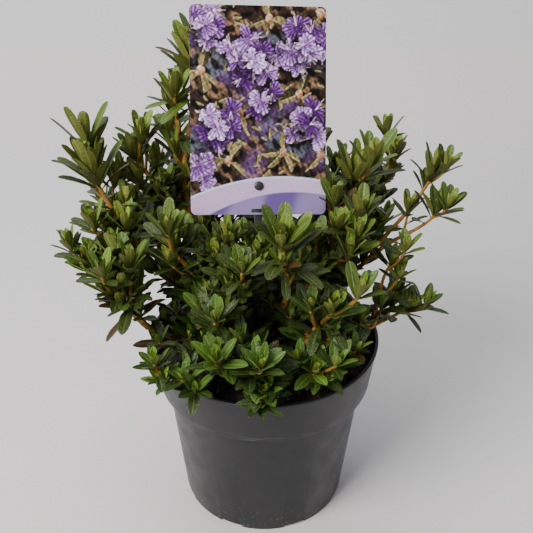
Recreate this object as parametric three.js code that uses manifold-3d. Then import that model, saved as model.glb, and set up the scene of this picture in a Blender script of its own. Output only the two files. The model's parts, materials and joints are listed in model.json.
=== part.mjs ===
// Potted rhododendron: an evergreen shrub with small narrow leaves in a plain round nursery pot.
// Millimetres, +Z up. The origin is the middle of the pot's underside, and the front is towards -Y.
// The trunk forks just above the compost into boughs. Each bough ends where the stems of its
// foliage masses begin, and each mass keeps to its own space round the tip of its stem.
import * as THREE from 'three';
import { mergeVertices } from 'three/addons/utils/BufferGeometryUtils.js';
import Module from 'manifold-3d';

const wasm = await Module();
wasm.setup();

// Driving dimensions of the pot
const POT_HEIGHT = 160;
const RIM_RADIUS = 95;
const LIP_HEIGHT = 2.5;
const LIP_WALL = 2.4;
const LIP_STEP = 0.8;
const COLLAR_HEIGHT = 40;
const COLLAR_FOOT_RADIUS = 89.8;
const SHOULDER_RADIUS = 83.3;
const BASE_RADIUS = 71;
const BASE_EDGE = 1.5;
const POT_WALL = 1.5;
const POT_SIDES = 36;
const FOOT_HEIGHT = 3.5;
const FOOT_INNER_RADIUS = 61;
const FOOT_DRAFT = 1;
const CENTRE_PAD_RADIUS = 28;
const PAD_DRAFT = 2;
const FLOOR_TOP = 5;
const DRAIN_NOTCHES = 8;
const NOTCH_WIDTH = 20;
const NOTCH_HEIGHT = 3;
const NOTCH_TURN = 0.39;
const DRAIN_HOLE_RADIUS = 4.5;
const DRAIN_HOLE_REACH = 45;
const DRAIN_HOLE_SIDES = 8;

// Clearance that parts keep from each other, and the grid that points are rounded to
const CLEARANCE = 0.3;
const GRID = 0.001;

// Compost in the pot
const SOIL_CENTRE_HEIGHT = 150.5;
const SOIL_EDGE_HEIGHT = 147.5;
const SOIL_FLAT_RADIUS = 16;

// Label card on its stick
const CARD_WIDTH = 100;
const CARD_HEIGHT = 151;
const CARD_THICKNESS = 0.8;
const CARD_CORNER = 4;
const CARD_CORNER_STEPS = 3;
const CARD_LEAN = THREE.MathUtils.degToRad(26.2);
const CARD_YAW = THREE.MathUtils.degToRad(7.7);
const CARD_ROLL = THREE.MathUtils.degToRad(-2.7);
const CARD_FOOT = new THREE.Vector3(-5, -22, 282.8);
const STUD_RISE = 21.2;
const STUD_HEAD_RADIUS = 3.4;
const STUD_HEAD_DEPTH = 1.6;
const STUD_DOME = 0.75;
const STUD_SHANK_RADIUS = 1.8;
const STUD_SHANK_SIDES = 8;
const STUD_HEAD_SIDES = 10;
const SLOT_WIDTH = 11;
const SLOT_HEIGHT = 2.8;
const SLOT_RISE = 1.4;
const STICK_WIDTH = 7;
const STICK_THICKNESS = 2.2;
const STICK_TOP_RISE = 30;
const STICK_BEND_DROP = 4;
const STICK_DEPTH_IN_SOIL = 45;
const STICK_FOOT_Y = -17;
const STICK_UPPER_ARM = 30;
const STICK_LOWER_ARM = 90;
const STICK_STEPS = 7;

// Trunk: a short leaning stem from the compost to its fork
const TRUNK_FOOT_RADIUS = 12.5;
const TRUNK_RADIUS = 8.5;
const TRUNK_TIP_RADIUS = 6.5;
const TRUNK_HEIGHT = 44;
const TRUNK_FLARE = 0.25;
const TRUNK_LEAN = new THREE.Vector3(3, -5, 0);
const TRUNK_SIDES = 8;
const TRUNK_STEPS = 6;

// Boughs: name, limb it leaves, how far up that limb, then azimuth in degrees,
// reach and height of its tip. A bough is a tapering limb with five sides.
const BOUGH_SIDES = 5;
const BOUGH_STEPS = 5;
const BOUGH_FOOT_RADIUS = 3;
const BRANCH_FOOT_RADIUS = 2.8;
const BOUGH_TIP_RADIUS = 2.3;
const BOUGH_SEAT = 0.85;
const BOUGH_FOLLOWS_TRUNK = 0.2;
const BRANCH_FOLLOWS_BOUGH = 0.45;
const BOUGH_UPTURN = 0.4;
const BOUGHS = [
  ['left_arch', 'trunk', 0.14, 213, 104, 204],
  ['right_low', 'trunk', 0.14, 341, 84, 184],
  ['back_low', 'trunk', 0.14, 92, 66, 182],
  ['front_low', 'trunk', 0.3, 268, 66, 172],
  ['left', 'trunk', 0.42, 188, 90, 232],
  ['right_inner', 'trunk', 0.44, 304, 58, 188],
  ['back_left', 'trunk', 0.55, 138, 76, 220],
  ['back_right', 'trunk', 0.55, 48, 76, 220],
  ['front', 'trunk', 0.58, 246, 56, 206],
  ['right_reach', 'trunk', 0.72, 0, 84, 236],
  ['tall_left', 'trunk', 0.95, 158, 66, 254],
  ['upright', 'trunk', 0.95, 290, 46, 214],
  ['right_top', 'trunk', 0.95, 26, 66, 254],
  ['back_mid', 'trunk', 0.8, 92, 36, 262],
  ['centre_left', 'left', 0.42, 216, 54, 220],
  ['right_front', 'right_reach', 0.45, 333, 52, 234],
  ['trailing', 'left_arch', 0.4, 238, 74, 170],
];

// Foliage masses: name, bough that carries it, then azimuth in degrees, reach and height
// of the tip of its stem, the spread of its leafy space and its number of side shoots
const MASSES = [
  ['left_high', 'left', 184, 131, 314, 31, 2],
  ['left_side', 'left', 188, 121, 264, 36, 2],
  ['left_low', 'left', 193, 138, 243, 34, 2],
  ['left_arch', 'left_arch', 207, 128, 240, 42, 3],
  ['tall_top', 'tall_left', 143, 73, 381, 28, 2],
  ['tall_mid', 'tall_left', 150, 82, 346, 32, 2],
  ['left_back', 'tall_left', 169, 102, 288, 36, 2],
  ['centre_left', 'centre_left', 213, 82, 267, 36, 2],
  ['mid_left', 'centre_left', 231, 57, 256, 34, 2],
  ['mid_front', 'front', 258, 71, 258, 34, 2],
  ['front_inner', 'front', 247, 84, 226, 34, 2],
  ['front_left', 'front_low', 252, 102, 203, 32, 2],
  ['front_mid', 'front_low', 266, 102, 200, 34, 2],
  ['front_low', 'front_low', 270, 100, 176, 32, 2],
  ['trailing', 'trailing', 228, 114, 173, 22, 2],
  ['upright', 'upright', 283, 73, 284, 26, 2],
  ['centre_right', 'upright', 318, 58, 248, 34, 2],
  ['right_inner', 'right_inner', 302, 92, 234, 36, 2],
  ['front_right', 'right_inner', 293, 96, 186, 34, 2],
  ['right_soil', 'right_inner', 320, 88, 188, 32, 2],
  ['right_low', 'right_low', 349, 114, 199, 24, 2],
  ['right_mid', 'right_low', 344, 101, 247, 34, 2],
  ['right_front', 'right_front', 325, 80, 275, 26, 2],
  ['right_tall', 'right_front', 6, 69, 298, 40, 2],
  ['right_reach', 'right_reach', 0, 132, 276, 26, 2],
  ['right_high', 'right_reach', 6, 129, 302, 24, 2],
  ['right_top', 'right_top', 23, 111, 302, 30, 2],
  ['right_rear', 'right_top', 38, 113, 262, 36, 2],
  ['back_mid', 'back_mid', 93, 82, 300, 44, 3],
  ['mid_centre', 'front', 262, 43, 257, 22, 2],
  ['behind_card', 'back_mid', 118, 40, 322, 42, 3],
  ['back_left', 'back_left', 126, 112, 272, 44, 2],
  ['back_low_left', 'back_left', 143, 122, 214, 42, 2],
  ['left_rear', 'back_left', 161, 122, 250, 40, 2],
  ['back_right', 'back_right', 58, 112, 264, 44, 2],
  ['back_low_right', 'back_right', 38, 122, 212, 42, 2],
  ['back_low', 'back_low', 92, 118, 208, 44, 2],
  ['left_top', 'tall_left', 168, 105, 312, 24, 2],
];

// Stems, shoots and leaves of a mass
const GOLDEN_ANGLE = THREE.MathUtils.degToRad(137.5);
const STEM_RADIUS = 1.5;
const STEM_TIP_RADIUS = 0.8;
const STEM_PITCH = 2 * STEM_RADIUS + 0.5;
const JOSTLES = 200;
const JOSTLE_PULL = 0.95;
const STEM_STEPS = 5;
const SHOOT_RADIUS = 1.0;
const SHOOT_TIP_RADIUS = 0.7;
const SHOOT_STEPS = 2;
const SHOOT_LIFT = 0.25;
const SHOOT_UPTURN = 0.45;
const SHOOT_TRIES = 8;
const SHOOT_SHRINK = 0.06;
const TWIG_SIDES = 3;
const LEAF_LENGTH = 28;
const LEAF_WIDTH = 10;
const LEAF_THICKNESS = 0.9;
const LEAF_BASE = 3;
const LEAF_YOUNG = 0.8;
const LEAF_ROOM = 0.35;
const LEAF_PITCH = 1.6;
const LEAF_TRIES = 4;
const STEM_LEAVES = 6;
const STEM_LEAFY_LENGTH = 38;
const SHOOT_LEAVES = 4;
const SHOOT_LEAFY_LENGTH = 20;
const LEAFY_SHARE = 0.8;
const INNER_LEAF_ANGLE = 18;
const OUTER_LEAF_ANGLE = 64;
const LOW_TILT = 55;
const HIGH_TILT = 20;
const LOW_TILT_HEIGHT = 175;
const HIGH_TILT_HEIGHT = 300;
const SPACE_MARGIN = 0.25;
const SPACE_SETBACK = 0.35;

// Ranges that the seeded growth draws from
const SHOOT_PLACES = [0.88, 0.45];
const SHOOT_LENGTHS = [0.7, 0.95];
const SHOOT_SPREADS = [0.45, 0.65];
const LEAF_SIZES = [0.92, 1.05];

// Routes of limbs: how far their ends keep their direction, and how they look for room
const ROUTE_ARM = 0.36;
const ROUTE_TRIES = 60;
const ROUTE_SWAY = 1.2;
const ROUTE_SAMPLES = 6;

// Seeds of the growth
const BOUGH_SEED = 11;
const STEM_SEED = 101;
const SHOOT_SEED = 301;
const LEAF_SEED = 601;

const UP = new THREE.Vector3(0, 0, 1);
const NEARLY_UPRIGHT = 0.95;

// A seeded random number maker (mulberry32), so that the plant grows the same each time
function seeded(seed) {
  let state = seed >>> 0;
  return () => {
    state = (state + 0x6d2b79f5) >>> 0;
    let t = state;
    t = Math.imul(t ^ (t >>> 15), t | 1);
    t ^= t + Math.imul(t ^ (t >>> 7), t | 61);
    return ((t ^ (t >>> 14)) >>> 0) / 4294967296;
  };
}

function between(low, high, share) {
  return low + (high - low) * share;
}

function polar(azimuth, reach, height) {
  const angle = THREE.MathUtils.degToRad(azimuth);
  return new THREE.Vector3(reach * Math.cos(angle), reach * Math.sin(angle), height);
}

function mix(a, b, share) {
  return a.clone().lerp(b, share);
}

function along(start, direction, distance) {
  return start.clone().addScaledVector(direction, distance);
}

// Two directions square to an axis, the first of them level where it can be
function crossDirections(axis) {
  const reference = Math.abs(axis.z) > NEARLY_UPRIGHT ? new THREE.Vector3(1, 0, 0) : UP;
  const side = new THREE.Vector3().crossVectors(axis, reference).normalize();
  const other = new THREE.Vector3().crossVectors(side, axis).normalize();
  return [side, other];
}

function around(axis, angle) {
  const [side, other] = crossDirections(axis);
  return side.multiplyScalar(Math.cos(angle)).addScaledVector(other, Math.sin(angle));
}

// A closed three.js geometry as a solid that can be joined and cut
function solid(geometry) {
  const bare = geometry.clone();
  bare.deleteAttribute('normal');
  bare.deleteAttribute('uv');
  const merged = mergeVertices(bare, GRID);
  return new wasm.Manifold(new wasm.Mesh({
    numProp: 3,
    vertProperties: new Float32Array(merged.attributes.position.array),
    triVerts: new Uint32Array(merged.index.array),
  }));
}

// The largest piece of a solid: loose scraps are dropped and sealed hollows are filled
function largestPiece(body) {
  const larger = (best, piece) => (piece.volume() > best.volume() ? piece : best);
  return body.decompose().reduce(larger);
}

// A solid as a three.js geometry, with its points on a fine grid, so that the hair-thin
// triangles that a join can leave close up
function geometryOf(body) {
  const mesh = body.getMesh();
  const geometry = new THREE.BufferGeometry();
  const points = mesh.vertProperties.map((value) => Math.round(value / GRID) * GRID);
  geometry.setAttribute('position', new THREE.BufferAttribute(points, 3));
  geometry.setIndex(new THREE.BufferAttribute(mesh.triVerts, 1));
  const merged = mergeVertices(geometry, GRID / 10);
  const kept = [];
  for (let i = 0; i < merged.index.count; i += 3) {
    const [a, b, c] = [0, 1, 2].map((k) => merged.index.getX(i + k));
    if (a !== b && b !== c && c !== a) kept.push(a, b, c);
  }
  merged.setIndex(kept);
  return merged;
}

// A limb is a curve with a radius at its foot and at its tip
function limb(name, from, curve, footRadius, tipRadius, steps) {
  const points = [];
  const radii = [];
  for (let i = 0; i <= steps; i += 1) {
    points.push(curve.getPoint(i / steps));
    radii.push(between(footRadius, tipRadius, i / steps));
  }
  return { name, from, curve, points, radii, steps };
}

// The point part of the way up the straight stretches between a limb's rings
function axisPoint(shape, share) {
  const ring = Math.min(Math.floor(share * shape.steps), shape.steps - 1);
  return mix(shape.points[ring], shape.points[ring + 1], share * shape.steps - ring);
}

// A closed tapering tube: the rings of a cylinder set square to the limb's curve
function tubeGeometry(shape, sides, extra = 0) {
  const tube = new THREE.CylinderGeometry(1, 1, 1, sides, shape.steps);
  const frames = shape.curve.computeFrenetFrames(shape.steps);
  const place = tube.attributes.position;
  for (let i = 0; i < place.count; i += 1) {
    const ring = Math.round((place.getY(i) + 0.5) * shape.steps);
    const radius = shape.radii[ring] + extra;
    const point = shape.points[ring].clone()
      .addScaledVector(frames.normals[ring], radius * place.getX(i))
      .addScaledVector(frames.binormals[ring], -radius * place.getZ(i));
    place.setXYZ(i, point.x, point.y, point.z);
  }
  return tube;
}

// Shortest distance between two straight stretches
function stretchDistance(a0, a1, b0, b1) {
  const d1 = a1.clone().sub(a0);
  const d2 = b1.clone().sub(b0);
  const r = a0.clone().sub(b0);
  const a = d1.dot(d1);
  const e = d2.dot(d2);
  const f = d2.dot(r);
  const c = d1.dot(r);
  const b = d1.dot(d2);
  const bend = a * e - b * b;
  let s = bend > 1e-9 ? THREE.MathUtils.clamp((b * f - c * e) / bend, 0, 1) : 0;
  const t = THREE.MathUtils.clamp((b * s + f) / e, 0, 1);
  s = THREE.MathUtils.clamp((b * t - c) / a, 0, 1);
  return along(a0, d1, s).distanceTo(along(b0, d2, t));
}

// Room between a straight stretch and a limb
function roomToLimb(start, end, radius, other) {
  let room = Infinity;
  for (let j = 0; j < other.steps; j += 1) {
    const distance = stretchDistance(start, end, other.points[j], other.points[j + 1]);
    room = Math.min(room, distance - radius - Math.max(other.radii[j], other.radii[j + 1]));
  }
  return room;
}

function limbIsClear(shape, others) {
  for (const other of others) {
    for (let i = 0; i < shape.steps; i += 1) {
      const room = roomToLimb(shape.points[i], shape.points[i + 1], shape.radii[i], other);
      if (room < CLEARANCE) return false;
    }
  }
  return true;
}

// The pot and the compost as a space to keep out of
function insidePot(point, margin) {
  const reach = Math.hypot(point.x, point.y);
  if (point.z > POT_HEIGHT + margin) return false;
  const collarSlope = (RIM_RADIUS - COLLAR_FOOT_RADIUS) / COLLAR_HEIGHT;
  const innerRadius = RIM_RADIUS - LIP_WALL - (POT_HEIGHT - point.z) * collarSlope;
  if (reach < innerRadius - margin && point.z > SOIL_CENTRE_HEIGHT + margin) return false;
  return reach < RIM_RADIUS + margin;
}

// The label card as a space to keep out of, in the card's own frame
const cardMatrix = new THREE.Matrix4().makeRotationZ(CARD_YAW)
  .multiply(new THREE.Matrix4().makeRotationX(Math.PI / 2 - CARD_LEAN))
  .multiply(new THREE.Matrix4().makeRotationZ(CARD_ROLL))
  .setPosition(CARD_FOOT);
const cardInverse = cardMatrix.clone().invert();

function nearCard(point, margin) {
  const local = point.clone().applyMatrix4(cardInverse);
  return Math.abs(local.x) < CARD_WIDTH / 2 + margin
    && local.y > -margin && local.y < CARD_HEIGHT + margin
    && Math.abs(local.z) < CARD_THICKNESS + margin;
}

function stretchIsFree(start, end, margin) {
  for (let i = 0; i <= ROUTE_SAMPLES; i += 1) {
    const point = mix(start, end, i / ROUTE_SAMPLES);
    if (insidePot(point, margin) || nearCard(point, margin)) return false;
  }
  return true;
}

// A route for a limb: the first seeded sway that keeps it clear of the limbs before it.
// A start or an end is a point and a direction.
function clearRoute(name, from, start, end, radii, steps, seed, others) {
  const random = seeded(seed);
  const arm = start.point.distanceTo(end.point) * ROUTE_ARM;
  const obstacles = others.filter((other) => other.name !== from);
  for (let k = 0; k < ROUTE_TRIES; k += 1) {
    const sway = new THREE.Vector3(random() - 0.5, random() - 0.5, random() - 0.5);
    sway.multiplyScalar(2 * ROUTE_SWAY * k);
    const curve = new THREE.CubicBezierCurve3(
      start.point,
      along(start.point, start.direction, arm).add(sway),
      along(end.point, end.direction, -arm).sub(sway),
      end.point,
    );
    const shape = limb(name, from, curve, radii[0], radii[1], steps);
    if (limbIsClear(shape, obstacles)) return shape;
  }
  throw new Error(`no clear route for ${name}`);
}

// Trunk
const trunkFoot = new THREE.Vector3(0, 0, SOIL_CENTRE_HEIGHT + CLEARANCE);
const trunkTip = trunkFoot.clone().add(TRUNK_LEAN).setZ(trunkFoot.z + TRUNK_HEIGHT);

function growTrunk() {
  const curve = new THREE.CubicBezierCurve3(
    trunkFoot,
    along(trunkFoot, UP, TRUNK_HEIGHT * ROUTE_ARM),
    along(trunkTip, UP, -TRUNK_HEIGHT * ROUTE_ARM),
    trunkTip,
  );
  const shape = limb('trunk', null, curve, TRUNK_RADIUS, TRUNK_TIP_RADIUS, TRUNK_STEPS);
  shape.radii[0] = TRUNK_FOOT_RADIUS;
  shape.radii[1] = between(TRUNK_RADIUS, TRUNK_FOOT_RADIUS, TRUNK_FLARE);
  return shape;
}

// Boughs leave their parent outwards and turn upwards towards their tip
function growBough(row, index, limbs) {
  const [name, from, leave, azimuth, reach, height] = row;
  const parent = limbs.find((other) => other.name === from);
  const middle = parent.curve.getPoint(leave);
  const parentDirection = parent.curve.getTangent(leave);
  const tip = polar(azimuth, reach, height);
  const ring = Math.round(leave * parent.steps);
  const sideways = tip.clone().sub(middle).projectOnPlane(parentDirection).normalize();
  const foot = along(middle, sideways, parent.radii[ring] * BOUGH_SEAT);
  const outward = tip.clone().sub(foot).normalize();
  const follow = from === 'trunk' ? BOUGH_FOLLOWS_TRUNK : BRANCH_FOLLOWS_BOUGH;
  const start = { point: foot, direction: mix(outward, parentDirection, follow).normalize() };
  const end = { point: tip, direction: mix(outward, UP, BOUGH_UPTURN).normalize() };
  const radii = [from === 'trunk' ? BOUGH_FOOT_RADIUS : BRANCH_FOOT_RADIUS, BOUGH_TIP_RADIUS];
  return clearRoute(name, from, start, end, radii, BOUGH_STEPS, index + BOUGH_SEED, limbs);
}

// The stems on one bough start side by side on its tip, each towards its own side,
// and jostle until there is room between them
function stemStarts(bough, tips) {
  const axis = bough.curve.getTangent(1);
  const [side, other] = crossDirections(axis);
  const middle = along(bough.curve.getPoint(1), axis, CLEARANCE);
  const ways = tips.map((tip) => tip.clone().sub(middle));
  const places = ways.map((way) => new THREE.Vector2(way.dot(side), way.dot(other)));
  const widest = Math.max(...places.map((place) => place.length()));
  for (const place of places) place.multiplyScalar(tips.length > 1 ? STEM_PITCH / widest : 0);
  for (let round = 0; round < JOSTLES; round += 1) {
    for (const place of places) place.multiplyScalar(JOSTLE_PULL);
    places.forEach((place, i) => places.slice(i + 1).forEach((next) => {
      const apart = next.clone().sub(place);
      const push = Math.max(0, STEM_PITCH - apart.length()) / 2;
      apart.setLength(push);
      next.add(apart);
      place.sub(apart);
    }));
  }
  return places.map((place) => along(along(middle, side, place.x), other, place.y));
}

// The tip of a stem leans outwards, and the lower it is the more it leans
function tipDirection(tip) {
  const share = THREE.MathUtils.mapLinear(tip.z, LOW_TILT_HEIGHT, HIGH_TILT_HEIGHT, 0, 1);
  const lean = between(LOW_TILT, HIGH_TILT, THREE.MathUtils.clamp(share, 0, 1));
  const tilt = THREE.MathUtils.degToRad(lean);
  const outward = new THREE.Vector3(tip.x, tip.y, 0).normalize();
  return outward.multiplyScalar(Math.sin(tilt)).addScaledVector(UP, Math.cos(tilt));
}

// Each mass grows on one stem, from the tip of its bough to its own tip
function growStems(boughs, limbs) {
  const stems = [];
  for (const bough of boughs) {
    const rows = MASSES.filter((row) => row[1] === bough.name);
    const tips = rows.map((row) => polar(row[2], row[3], row[4]));
    const starts = stemStarts(bough, tips);
    rows.forEach((row, i) => {
      const [name, , , , , spread, shoots] = row;
      const start = { point: starts[i], direction: bough.curve.getTangent(1) };
      const end = { point: tips[i], direction: tipDirection(tips[i]) };
      const radii = [STEM_RADIUS, STEM_TIP_RADIUS];
      const seed = MASSES.indexOf(row) + STEM_SEED;
      const others = limbs.concat(stems);
      const stem = clearRoute(name, bough.name, start, end, radii, STEM_STEPS, seed, others);
      const setback = Math.min(start.point.distanceTo(end.point), spread) * SPACE_SETBACK;
      stem.spread = spread;
      stem.shoots = shoots;
      stem.middle = along(end.point, end.direction, -setback);
      stems.push(stem);
    });
  }
  return stems;
}

// A mass's space: the points that lie nearer to its middle than to any other's, by spread
function inOwnSpace(point, own, stems, margin) {
  for (const other of stems) {
    if (other === own) continue;
    const way = other.middle.clone().sub(own.middle);
    const distance = way.length();
    const edge = (distance * distance + own.spread ** 2 - other.spread ** 2) / (2 * distance);
    if (point.clone().sub(own.middle).dot(way) / distance > edge - margin) return false;
  }
  return true;
}

// Shoots branch from the stem by the golden angle and turn upwards
function shootAt(stem, share, turn, length, spread) {
  const axis = stem.curve.getTangent(share);
  const start = axisPoint(stem, share);
  const sideways = mix(axis, around(axis, turn), spread);
  const direction = sideways.addScaledVector(UP, SHOOT_LIFT).normalize();
  const elbow = along(start, direction, length / 2);
  const end = along(elbow, mix(direction, UP, SHOOT_UPTURN).normalize(), length / 2);
  const curve = new THREE.QuadraticBezierCurve3(start, elbow, end);
  return limb('shoot', stem.name, curve, SHOOT_RADIUS, SHOOT_TIP_RADIUS, SHOOT_STEPS);
}

// A shoot keeps to its mass's space and clear of other limbs, the pot and the card
function shootIsFree(shoot, stem, limbs, stems) {
  const others = limbs.filter((other) => other !== stem);
  const margin = SHOOT_RADIUS + SPACE_MARGIN;
  return limbIsClear(shoot, others)
    && stretchIsFree(shoot.points[0], shoot.points[1], SHOOT_RADIUS + CLEARANCE)
    && stretchIsFree(shoot.points[1], shoot.points[2], SHOOT_RADIUS + CLEARANCE)
    && shoot.points.slice(1).every((point) => inOwnSpace(point, stem, stems, margin));
}

function growShoots(stem, limbs, stems) {
  const random = seeded(stems.indexOf(stem) + SHOOT_SEED);
  const shoots = [];
  const turn = random() * 2 * Math.PI;
  for (let k = 0; k < stem.shoots; k += 1) {
    const share = between(...SHOOT_PLACES, k / (stem.shoots - 1));
    for (let attempt = 0; attempt < SHOOT_TRIES; attempt += 1) {
      const shrink = 1 - SHOOT_SHRINK * attempt;
      const length = stem.spread * between(...SHOOT_LENGTHS, random()) * shrink;
      const spread = between(...SHOOT_SPREADS, random());
      const side = turn + (k + attempt / 2) * GOLDEN_ANGLE;
      const shoot = shootAt(stem, share, side, length, spread);
      if (shootIsFree(shoot, stem, limbs, stems)) {
        shoots.push(shoot);
        break;
      }
    }
  }
  return shoots;
}

// One leaf: its root in the middle of the twig, its direction, and the way its upper side faces
function leafAt(shoot, place, turn, angle, size) {
  const axis = shoot.curve.getTangent(place);
  const direction = axis.clone().multiplyScalar(Math.cos(angle))
    .addScaledVector(around(axis, turn), Math.sin(angle));
  const facing = axis.clone().addScaledVector(direction, -axis.dot(direction)).normalize();
  const across = new THREE.Vector3().crossVectors(direction, facing);
  const root = axisPoint(shoot, place);
  const length = LEAF_LENGTH * size;
  const width = LEAF_WIDTH * size;
  const middle = along(root, direction, length / 2);
  return {
    direction, facing, across, length, width, middle,
    base: along(root, direction, LEAF_BASE),
    tip: along(root, direction, length),
    sides: [along(middle, across, width / 2), along(middle, across, -width / 2)],
  };
}

// A leaf keeps to its mass's space and clear of limbs, twigs and the leaves before it
function leafIsFree(leaf, own, twigs, leaves, limbs, stems) {
  const { base, tip, sides, width } = leaf;
  const margin = SPACE_MARGIN + LEAF_THICKNESS / 2;
  const others = limbs.filter((other) => other !== own);
  return [tip, ...sides].every((corner) => inOwnSpace(corner, own, stems, margin))
    && stretchIsFree(base, tip, width * LEAF_ROOM)
    && others.every((other) => roomToLimb(base, tip, width / 2, other) > CLEARANCE)
    && twigs.every((twig) => roomToLimb(base, tip, 0, twig) > 0)
    && leaves.every((other) => stretchDistance(base, tip, other.base, other.tip) > LEAF_PITCH);
}

// Leaves sit closest together at the tip of a twig, upright and small, and wider set below it
function growLeaves(stem, shoots, limbs, stems) {
  const random = seeded(stems.indexOf(stem) + LEAF_SEED);
  const twigs = [stem, ...shoots];
  const leaves = [];
  for (const twig of twigs) {
    const count = twig === stem ? STEM_LEAVES : SHOOT_LEAVES;
    const leafyLength = twig === stem ? STEM_LEAFY_LENGTH : SHOOT_LEAFY_LENGTH;
    const leafyShare = Math.min(LEAFY_SHARE, leafyLength / twig.curve.getLength());
    const turn = random() * 2 * Math.PI;
    for (let j = 0; j < count; j += 1) {
      const age = j / (count - 1);
      const angle = THREE.MathUtils.degToRad(between(INNER_LEAF_ANGLE, OUTER_LEAF_ANGLE, age));
      const size = between(LEAF_YOUNG, 1, age) * between(...LEAF_SIZES, random());
      for (let attempt = 0; attempt < LEAF_TRIES; attempt += 1) {
        const side = turn + (j + attempt / 2) * GOLDEN_ANGLE;
        const leaf = leafAt(twig, 1 - leafyShare * age, side, angle, size);
        if (leafIsFree(leaf, stem, twigs, leaves, limbs, stems)) {
          leaves.push(leaf);
          break;
        }
      }
    }
  }
  return leaves;
}

function leafGeometry(leaf) {
  const matrix = new THREE.Matrix4().makeBasis(leaf.across, leaf.direction, leaf.facing);
  const sizes = new THREE.Vector3(leaf.width / 2, leaf.length / 2, LEAF_THICKNESS / 2);
  return new THREE.OctahedronGeometry(1, 0).applyMatrix4(matrix.setPosition(leaf.middle).scale(sizes));
}

// Two corners of a joined solid that meet at one point would leave an edge with four faces
function hasPinchedEdge(geometry) {
  const edges = new Set();
  for (let i = 0; i < geometry.index.count; i += 3) {
    for (let k = 0; k < 3; k += 1) {
      const edge = `${geometry.index.getX(i + k)}_${geometry.index.getX(i + (k + 1) % 3)}`;
      if (edges.has(edge)) return true;
      edges.add(edge);
    }
  }
  return false;
}

// Twigs and leaves fused into one body; a leaf that wouldn't join cleanly is left off
function fuse(twigs, leaves) {
  let body = wasm.Manifold.union(twigs.map((twig) => solid(tubeGeometry(twig, TWIG_SIDES))));
  for (const leaf of leaves) {
    const joined = largestPiece(body.add(solid(leafGeometry(leaf))));
    const snapped = geometryOf(joined);
    if (!hasPinchedEdge(snapped) && solid(snapped).decompose().length === 1) body = joined;
  }
  return body;
}

// A round solid from the radii and heights of its outline
function latheSolid(profile) {
  const points = profile.map(([radius, height]) => new THREE.Vector2(radius, height));
  const lathe = new THREE.LatheGeometry(points, POT_SIDES);
  lathe.rotateX(Math.PI / 2);
  return solid(lathe);
}

// Pot: a thin tapering shell with a stepped collar, a standing ring, drain notches and holes
function makePot() {
  const profile = [
    [0, 0],
    [CENTRE_PAD_RADIUS, 0],
    [CENTRE_PAD_RADIUS + PAD_DRAFT, FOOT_HEIGHT],
    [FOOT_INNER_RADIUS - FOOT_DRAFT, FOOT_HEIGHT],
    [FOOT_INNER_RADIUS, 0],
    [BASE_RADIUS - BASE_EDGE, 0],
    [BASE_RADIUS, BASE_EDGE],
    [SHOULDER_RADIUS, POT_HEIGHT - COLLAR_HEIGHT],
    [COLLAR_FOOT_RADIUS, POT_HEIGHT - COLLAR_HEIGHT],
    [RIM_RADIUS - LIP_STEP, POT_HEIGHT - LIP_HEIGHT],
    [RIM_RADIUS, POT_HEIGHT - LIP_HEIGHT],
    [RIM_RADIUS, POT_HEIGHT],
    [RIM_RADIUS - LIP_WALL, POT_HEIGHT],
    [COLLAR_FOOT_RADIUS - POT_WALL, POT_HEIGHT - COLLAR_HEIGHT + POT_WALL],
    [SHOULDER_RADIUS - POT_WALL, POT_HEIGHT - COLLAR_HEIGHT + POT_WALL],
    [BASE_RADIUS - POT_WALL, FLOOR_TOP],
    [0, FLOOR_TOP],
  ];
  let pot = latheSolid(profile);
  for (let k = 0; k < DRAIN_NOTCHES; k += 1) {
    const turn = NOTCH_TURN + 2 * Math.PI * k / DRAIN_NOTCHES;
    const notchDepth = 2 * (BASE_RADIUS - FOOT_INNER_RADIUS);
    const notch = new THREE.BoxGeometry(notchDepth, NOTCH_WIDTH, 2 * NOTCH_HEIGHT);
    notch.translate(BASE_RADIUS, 0, 0).rotateZ(turn);
    pot = pot.subtract(solid(notch));
    const radius = DRAIN_HOLE_RADIUS;
    const hole = new THREE.CylinderGeometry(radius, radius, 4 * FLOOR_TOP, DRAIN_HOLE_SIDES);
    hole.rotateX(Math.PI / 2).translate(DRAIN_HOLE_REACH, 0, 0).rotateZ(turn);
    pot = pot.subtract(solid(hole));
  }
  return pot;
}

// Compost: fills the pot to just below the rim, with a flat top under the trunk
function makeSoil(stick) {
  const gap = POT_WALL + CLEARANCE;
  const step = POT_HEIGHT - COLLAR_HEIGHT + gap;
  const edgeShare = (SOIL_EDGE_HEIGHT - step) / (POT_HEIGHT - step);
  const edge = between(COLLAR_FOOT_RADIUS - gap, RIM_RADIUS - LIP_WALL - CLEARANCE, edgeShare) - CLEARANCE;
  const soil = latheSolid([
    [0, FLOOR_TOP + CLEARANCE],
    [BASE_RADIUS - gap, FLOOR_TOP + CLEARANCE],
    [SHOULDER_RADIUS - gap - CLEARANCE, step + CLEARANCE],
    [COLLAR_FOOT_RADIUS - gap - CLEARANCE, step + CLEARANCE],
    [edge, SOIL_EDGE_HEIGHT],
    [SOIL_FLAT_RADIUS, SOIL_CENTRE_HEIGHT],
    [0, SOIL_CENTRE_HEIGHT],
  ]);
  return soil.subtract(stick);
}

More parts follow.
